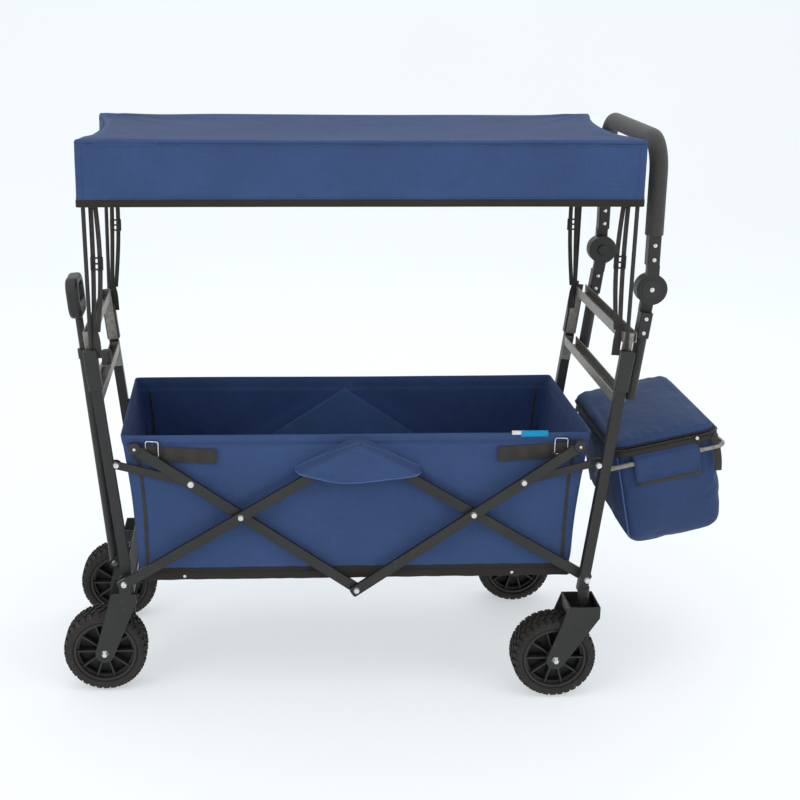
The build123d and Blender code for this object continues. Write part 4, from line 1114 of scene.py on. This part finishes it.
def bag_lid():
    """Padded lid, crowned, with its rim pulled down by the zip."""
    half_u, half_y = LID_HALF_U, 0.1868
    rings = []
    for height, inset in ((0.0014, 0.090), (0.0010, 0.040), (0.0010, 0.006), (0.0016, 0.0016), (0.0045, 0.0),
                          (0.0085, 0.0006), (0.0120, 0.0030), (0.0150, 0.0075), (0.0170, 0.015),
                          (0.0182, 0.027),
                          (0.0190, 0.042), (0.0194, 0.062), (0.0196, 0.090)):
        ring = []
        corner = max(0.006, 0.022 - inset * 0.4)
        for point, out in rounded_loop(half_u - inset, half_y - inset, corner, 26, 40):
            top = 1.0 if height > 0.011 else 0.0
            crease = top * 0.0016 * ripple(point.x * 24, point.y * 15, height, 8)
            ring.append(bag_point(LID_GAP + half_u + point.x, point.y, height + crease))
        rings.append(ring)
    lid = loft(rings, [0] * len(rings), [bag_cloth, silver_lining], "cooler_bag_lid")

    def hold(point):
        u, w = bag_place(point)
        rim = min(abs(abs(point.y) - half_y), abs(u - LID_GAP), abs(u - 2 * half_u))
        return 1.0 if w < 0.006 else 0.75 * math.exp(-(rim / 0.012) ** 2)

    puffed(lid, 0.005, 3.5, 0.004, hold)
    for v in lid.data.vertices:
        u, w = bag_place(v.co)
        edge = min(half_y - abs(v.co.y), 1.2 * u, 1.2 * (2 * half_u - u))
        pucker = math.exp(-((edge - 0.016) / 0.020) ** 2) * ripple(u * 62, v.co.y * 9, 0, 12)
        swell = ripple(u * 14, v.co.y * 9, 0, 14)
        v.co += OUTWARD * min(1.0, max(0.0, w - 0.006) / 0.008) * (0.0034 * pucker + 0.0022 * swell)
    for face in lid.data.polygons:
        face.material_index = int(face.normal.dot(OUTWARD) < -0.8)
    return lid


bag, lid = bag_body(), bag_lid()
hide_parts("bag_shell")
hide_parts("bag_lid")
on(bag, "rear_frame")
on(lid, "cooler_lid")

bag_zip = Shape()
loop = rounded_loop(BAG_LONG / 2 - 0.0012, BAG_HALF - 0.0012, 0.020, 20, 30)
for w, section, out, slot in ((-0.0078, flat(0.0022, 0.0140), 0.0, 0),
                              (-0.0068, flat(0.0030, 0.0032), 0.0006, 1)):
    bag_zip.sweep([bag_point(BAG_LONG / 2 + p.x + o.x * out, p.y + o.y * out, w) for p, o in loop],
                  section, OUTWARD, closed=True, slot=slot)
for side in SIDES:
    pull = [bag_point(0.168, side * (BAG_HALF + 0.0016), -0.0065),
            bag_point(0.171, side * (BAG_HALF + 0.0026), -0.016),
            bag_point(0.170, side * (BAG_HALF + 0.0024), -0.034)]
    bag_zip.sweep(smooth_path(pull, 5), flat(0.0055, 0.0018), (0, side, 0), slot=0)
    bag_zip.turn([(-0.001, 0.0042), (0.0022, 0.0040), (0.003, 0.0026)], pull[0], (0, side, 0), steps=14,
                 slot=2)
bag_zip = on(bag_zip.piece("bag_zip", [black_web, black_plastic, bright]), "rear_frame")

bag_piping = Shape()
for side in SIDES:
    line = []
    for k in range(25):
        w = -0.016 - (BAG_DEEP - 0.046) * k / 24
        share = TAPER * -w
        line.append(bag_point(0.0052 + 0.1 * share, side * (BAG_HALF - share - 0.0052), w))
    bag_piping.sweep(line, circle(0.0017, 8), (0, side, 0))
lid_edge, seam = ([bag_point(LID_GAP + LID_HALF_U + p.x, p.y, w) for p, _ in
                   rounded_loop(0.1047, 0.187, 0.022, 24, 40)] for w in (0.0026, 0.0066))
lid_piping = Shape()
lid_piping.sweep(lid_edge, circle(0.0015, 8), OUTWARD, closed=True)
stitches(lid_piping, seam, lambda p: p - MOUTH - ALONG * 0.1, slot=1)
on(bag_piping.piece("bag_piping", [piping_blue, thread_blue]), "rear_frame")
on(lid_piping.piece("lid_piping", [black_cloth, thread_blue]), "cooler_lid")



def beside(side, u, out, w):
    """A point out from the bag's end face."""
    return bag_point(u, side * (BAG_HALF + out), w)


bag_flaps, bag_hooks, bag_rods = Shape(), Shape(), Shape()
for side in SIDES:
    profile = [(0.0006, -0.0150), (0.0040, -0.0190), (0.0115, -0.0240), (0.0135, -0.0308), (0.0118, -0.0380),
               (0.0062, -0.0540), (0.0046, -0.0740)]
    fine = smooth_path([(out, w, 0) for out, w in profile], 5)
    verts = []
    for k in range(21):
        u = 0.034 + 0.134 * k / 20
        wave = 0.0010 * math.sin(k * 0.9)
        for i, point in enumerate(fine):
            verts.append(beside(side, u, point[0] + wave * i / len(fine), point[1]))
        for i, point in reversed(list(enumerate(fine))):
            verts.append(beside(side, u, point[0] + wave * i / len(fine) - 0.0018, point[1] + 0.0004))
    size = 2 * len(fine)
    faces = [(a * size + i, a * size + (i + 1) % size, (a + 1) * size + (i + 1) % size, (a + 1) * size + i)
             for a in range(20) for i in range(size)]
    bag_flaps.add(verts, faces + [tuple(range(size)), tuple(range(20 * size, 21 * size))])
    for w in (-0.0700, -0.0670):
        stitches(bag_flaps, [beside(side, 0.037 + 0.128 * k / 30, 0.0055, w) for k in range(31)],
                 (0, side, 0), slot=1)
    bag_hooks.sweep([beside(side, 0.036 + 0.130 * k / 12, 0.0016, -0.0765) for k in range(13)],
                    flat(0.013, 0.0022), (0, side, 0))
    strap = [beside(side, BAG_LONG - 0.012, 0.0012, -0.010), beside(side, BAG_LONG - 0.010, 0.0042, -0.030),
             beside(side, BAG_LONG - 0.011, 0.0062, -0.060), beside(side, BAG_LONG - 0.014, 0.0052, -0.082)]
    bag_hooks.sweep(smooth_path(strap, 6), flat(0.015, 0.0020), (0, side, 0))
    rod = [bag_point(0.160, side * ROD_Y, ROD_W), bag_point(0.196, side * ROD_Y, ROD_W),
           bag_point(0.212, side * (ROD_Y - 0.003), ROD_W), bag_point(0.2200, side * (ROD_Y - 0.014), ROD_W),
           bag_point(0.2205, side * (ROD_Y - 0.030), ROD_W), bag_point(0.2195, side * (ROD_Y - 0.050), ROD_W)]
    bag_rods.sweep(smooth_path(rod, 7), circle(0.0042, 12), OUTWARD)
on(bag_flaps.piece("bag_rod_flaps", [bag_cloth, thread_blue]), "rear_frame")
on(bag_hooks.piece("bag_webbing", [black_web]), "rear_frame")
on(bag_rods.piece("bag_rod_ends", [zinc]), "rear_frame")


# ---- straps from the canopy to the end frames, bar caps, hub rings and link rivets ----------
POST_Y = 0.205                         # middle of the posts
HUB_Z, HUB_AHEAD = 0.838, 0.030        # push handle's pivot: its height, and how far past the posts' line
STRAP_LOW_Z = 0.757


def post_x(z):
    return 0.459 + (z - 0.240) * math.tan(math.radians(7))


def tie_straps(end):
    straps, buckles = Shape(), Shape()
    for side in SIDES:
        high = Vector((mid_x + end * 0.505, side * 0.222, hem_z + 0.012))
        low = Vector((mid_x + end * (post_x(STRAP_LOW_Z) - 0.014), side * POST_Y, STRAP_LOW_Z))
        for shift, bow in ((0.0, 0.002), (0.008, 0.007)):
            path = []
            for k in range(17):
                t = k / 16
                path.append(high.lerp(low, t) + Vector((-end * (shift + bow * math.sin(math.pi * t)),
                                                        -side * 0.003 * math.sin(math.pi * t), 0)))
            straps.sweep(path, flat(0.009, 0.0013), (0, side, 0))
        middle = high.lerp(low, 0.48) + Vector((-end * 0.009, -side * 0.003, 0))
        for z in (-0.011, 0, 0.011):
            buckles.sweep([middle + Vector((x, side * 0.0022, z)) for x in (-0.0105, -0.004, 0.004, 0.0105)],
                          flat(0.0035, 0.0038), (0, side, 0))
        for x in (-0.0105, 0.0105):
            buckles.sweep([middle + Vector((x, side * 0.0022, z)) for z in (-0.0125, -0.004, 0.004, 0.0125)],
                          flat(0.0032, 0.0036), (0, side, 0))
        wrap = [low + Vector((0, -side * 0.002, 0.010)), low + Vector((0, 0, 0.0)),
                low + Vector((-end * 0.004, side * 0.001, -0.020)), low + Vector((-end * 0.006, 0, -0.052))]
        straps.sweep(smooth_path(wrap, 5), flat(0.016, 0.0016), (0, side, 0))
    body = "front_frame" if end < 0 else "rear_frame"
    name = "front" if end < 0 else "rear"
    on(straps.piece(f"{name}_tie_straps", [black_web]), body)
    on(buckles.piece(f"{name}_strap_adjusters", [black_plastic], crisp=True), body)


for end in ENDS:
    tie_straps(end)


def bar_caps(node, end, body):
    """Round moulded caps over the upper ends of a pair of long bars."""
    low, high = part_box(node)
    caps = Shape()
    x = (low[0] + 0.0105) if end < 0 else (high[0] - 0.0105)
    for side in SIDES:
        face = side * abs(low[1])
        centre = Vector((x, face, high[2] - 0.0105))
        caps.turn([(-0.0100, 0.0118), (0.0010, 0.0122), (0.0028, 0.0112), (0.0040, 0.0088), (0.0046, 0.0050),
                   (0.0048, 0.0012)], centre, (0, side, 0), steps=32)
        caps.turn([(0.0042, 0.0034), (0.0056, 0.0030), (0.0062, 0.0016), (0.0063, 0.0004)], centre,
                  (0, side, 0), steps=20, slot=1)
    on(caps.piece(f"{node}_caps", [black_plastic, bright]), body)


bar_caps("scissor_bar_a", -1, "inner_front_bars")
bar_caps("scissor_bar_c", 1, "outer_rear_bars")

hub_face = abs(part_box("handle_upper_hubs")[0][1])
lower_face = abs(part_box("handle_lower_hubs")[0][1])


def hub_point(y, z):
    """A point on the line through the hubs, which leans as the posts do."""
    return Vector((mid_x + post_x(z) + HUB_AHEAD, y, z))


HUB = hub_point(0, HUB_Z)
hub_rings = Shape()
for side in SIDES:
    face = HUB + Vector((0, side * hub_face, 0))
    for radius, width in ((0.0262, 0.0022), (0.0205, 0.0016)):
        hub_rings.turn([(-0.0006, radius - width), (0.0008, radius - width * 0.7),
                        (0.0010, radius - width * 0.4), (0.0006, radius), (-0.0006, radius)], face,
                       (0, side, 0), steps=48)
    hub_rings.turn([(-0.0005, 0.0052), (0.0016, 0.0050), (0.0026, 0.0036), (0.0030, 0.0012),
                    (0.0031, 0.0004)], face, (0, side, 0), steps=32, slot=1)
link_rivets = Shape()
RIVET = [(-0.0005, 0.0044), (0.0012, 0.0042), (0.0020, 0.0028), (0.0022, 0.0006)]
inner_face = POST_Y - 0.014          # inner faces of the link blocks
for side in SIDES:
    for face_y, way in ((lower_face, side), (inner_face, -side)):
        for dz in (0.058, 0.086):
            link_rivets.turn(RIVET, hub_point(side * face_y, HUB_Z - dz), (0, way, 0), steps=20)
            hub_rings.turn(RIVET, (HUB.x, side * face_y, HUB_Z + dz), (0, way, 0), steps=20, slot=1)
on(link_rivets.piece("lower_link_rivets", [bright]), "rear_frame")
on(hub_rings.piece("hub_rings", [black_plastic, bright]), "push_handle")
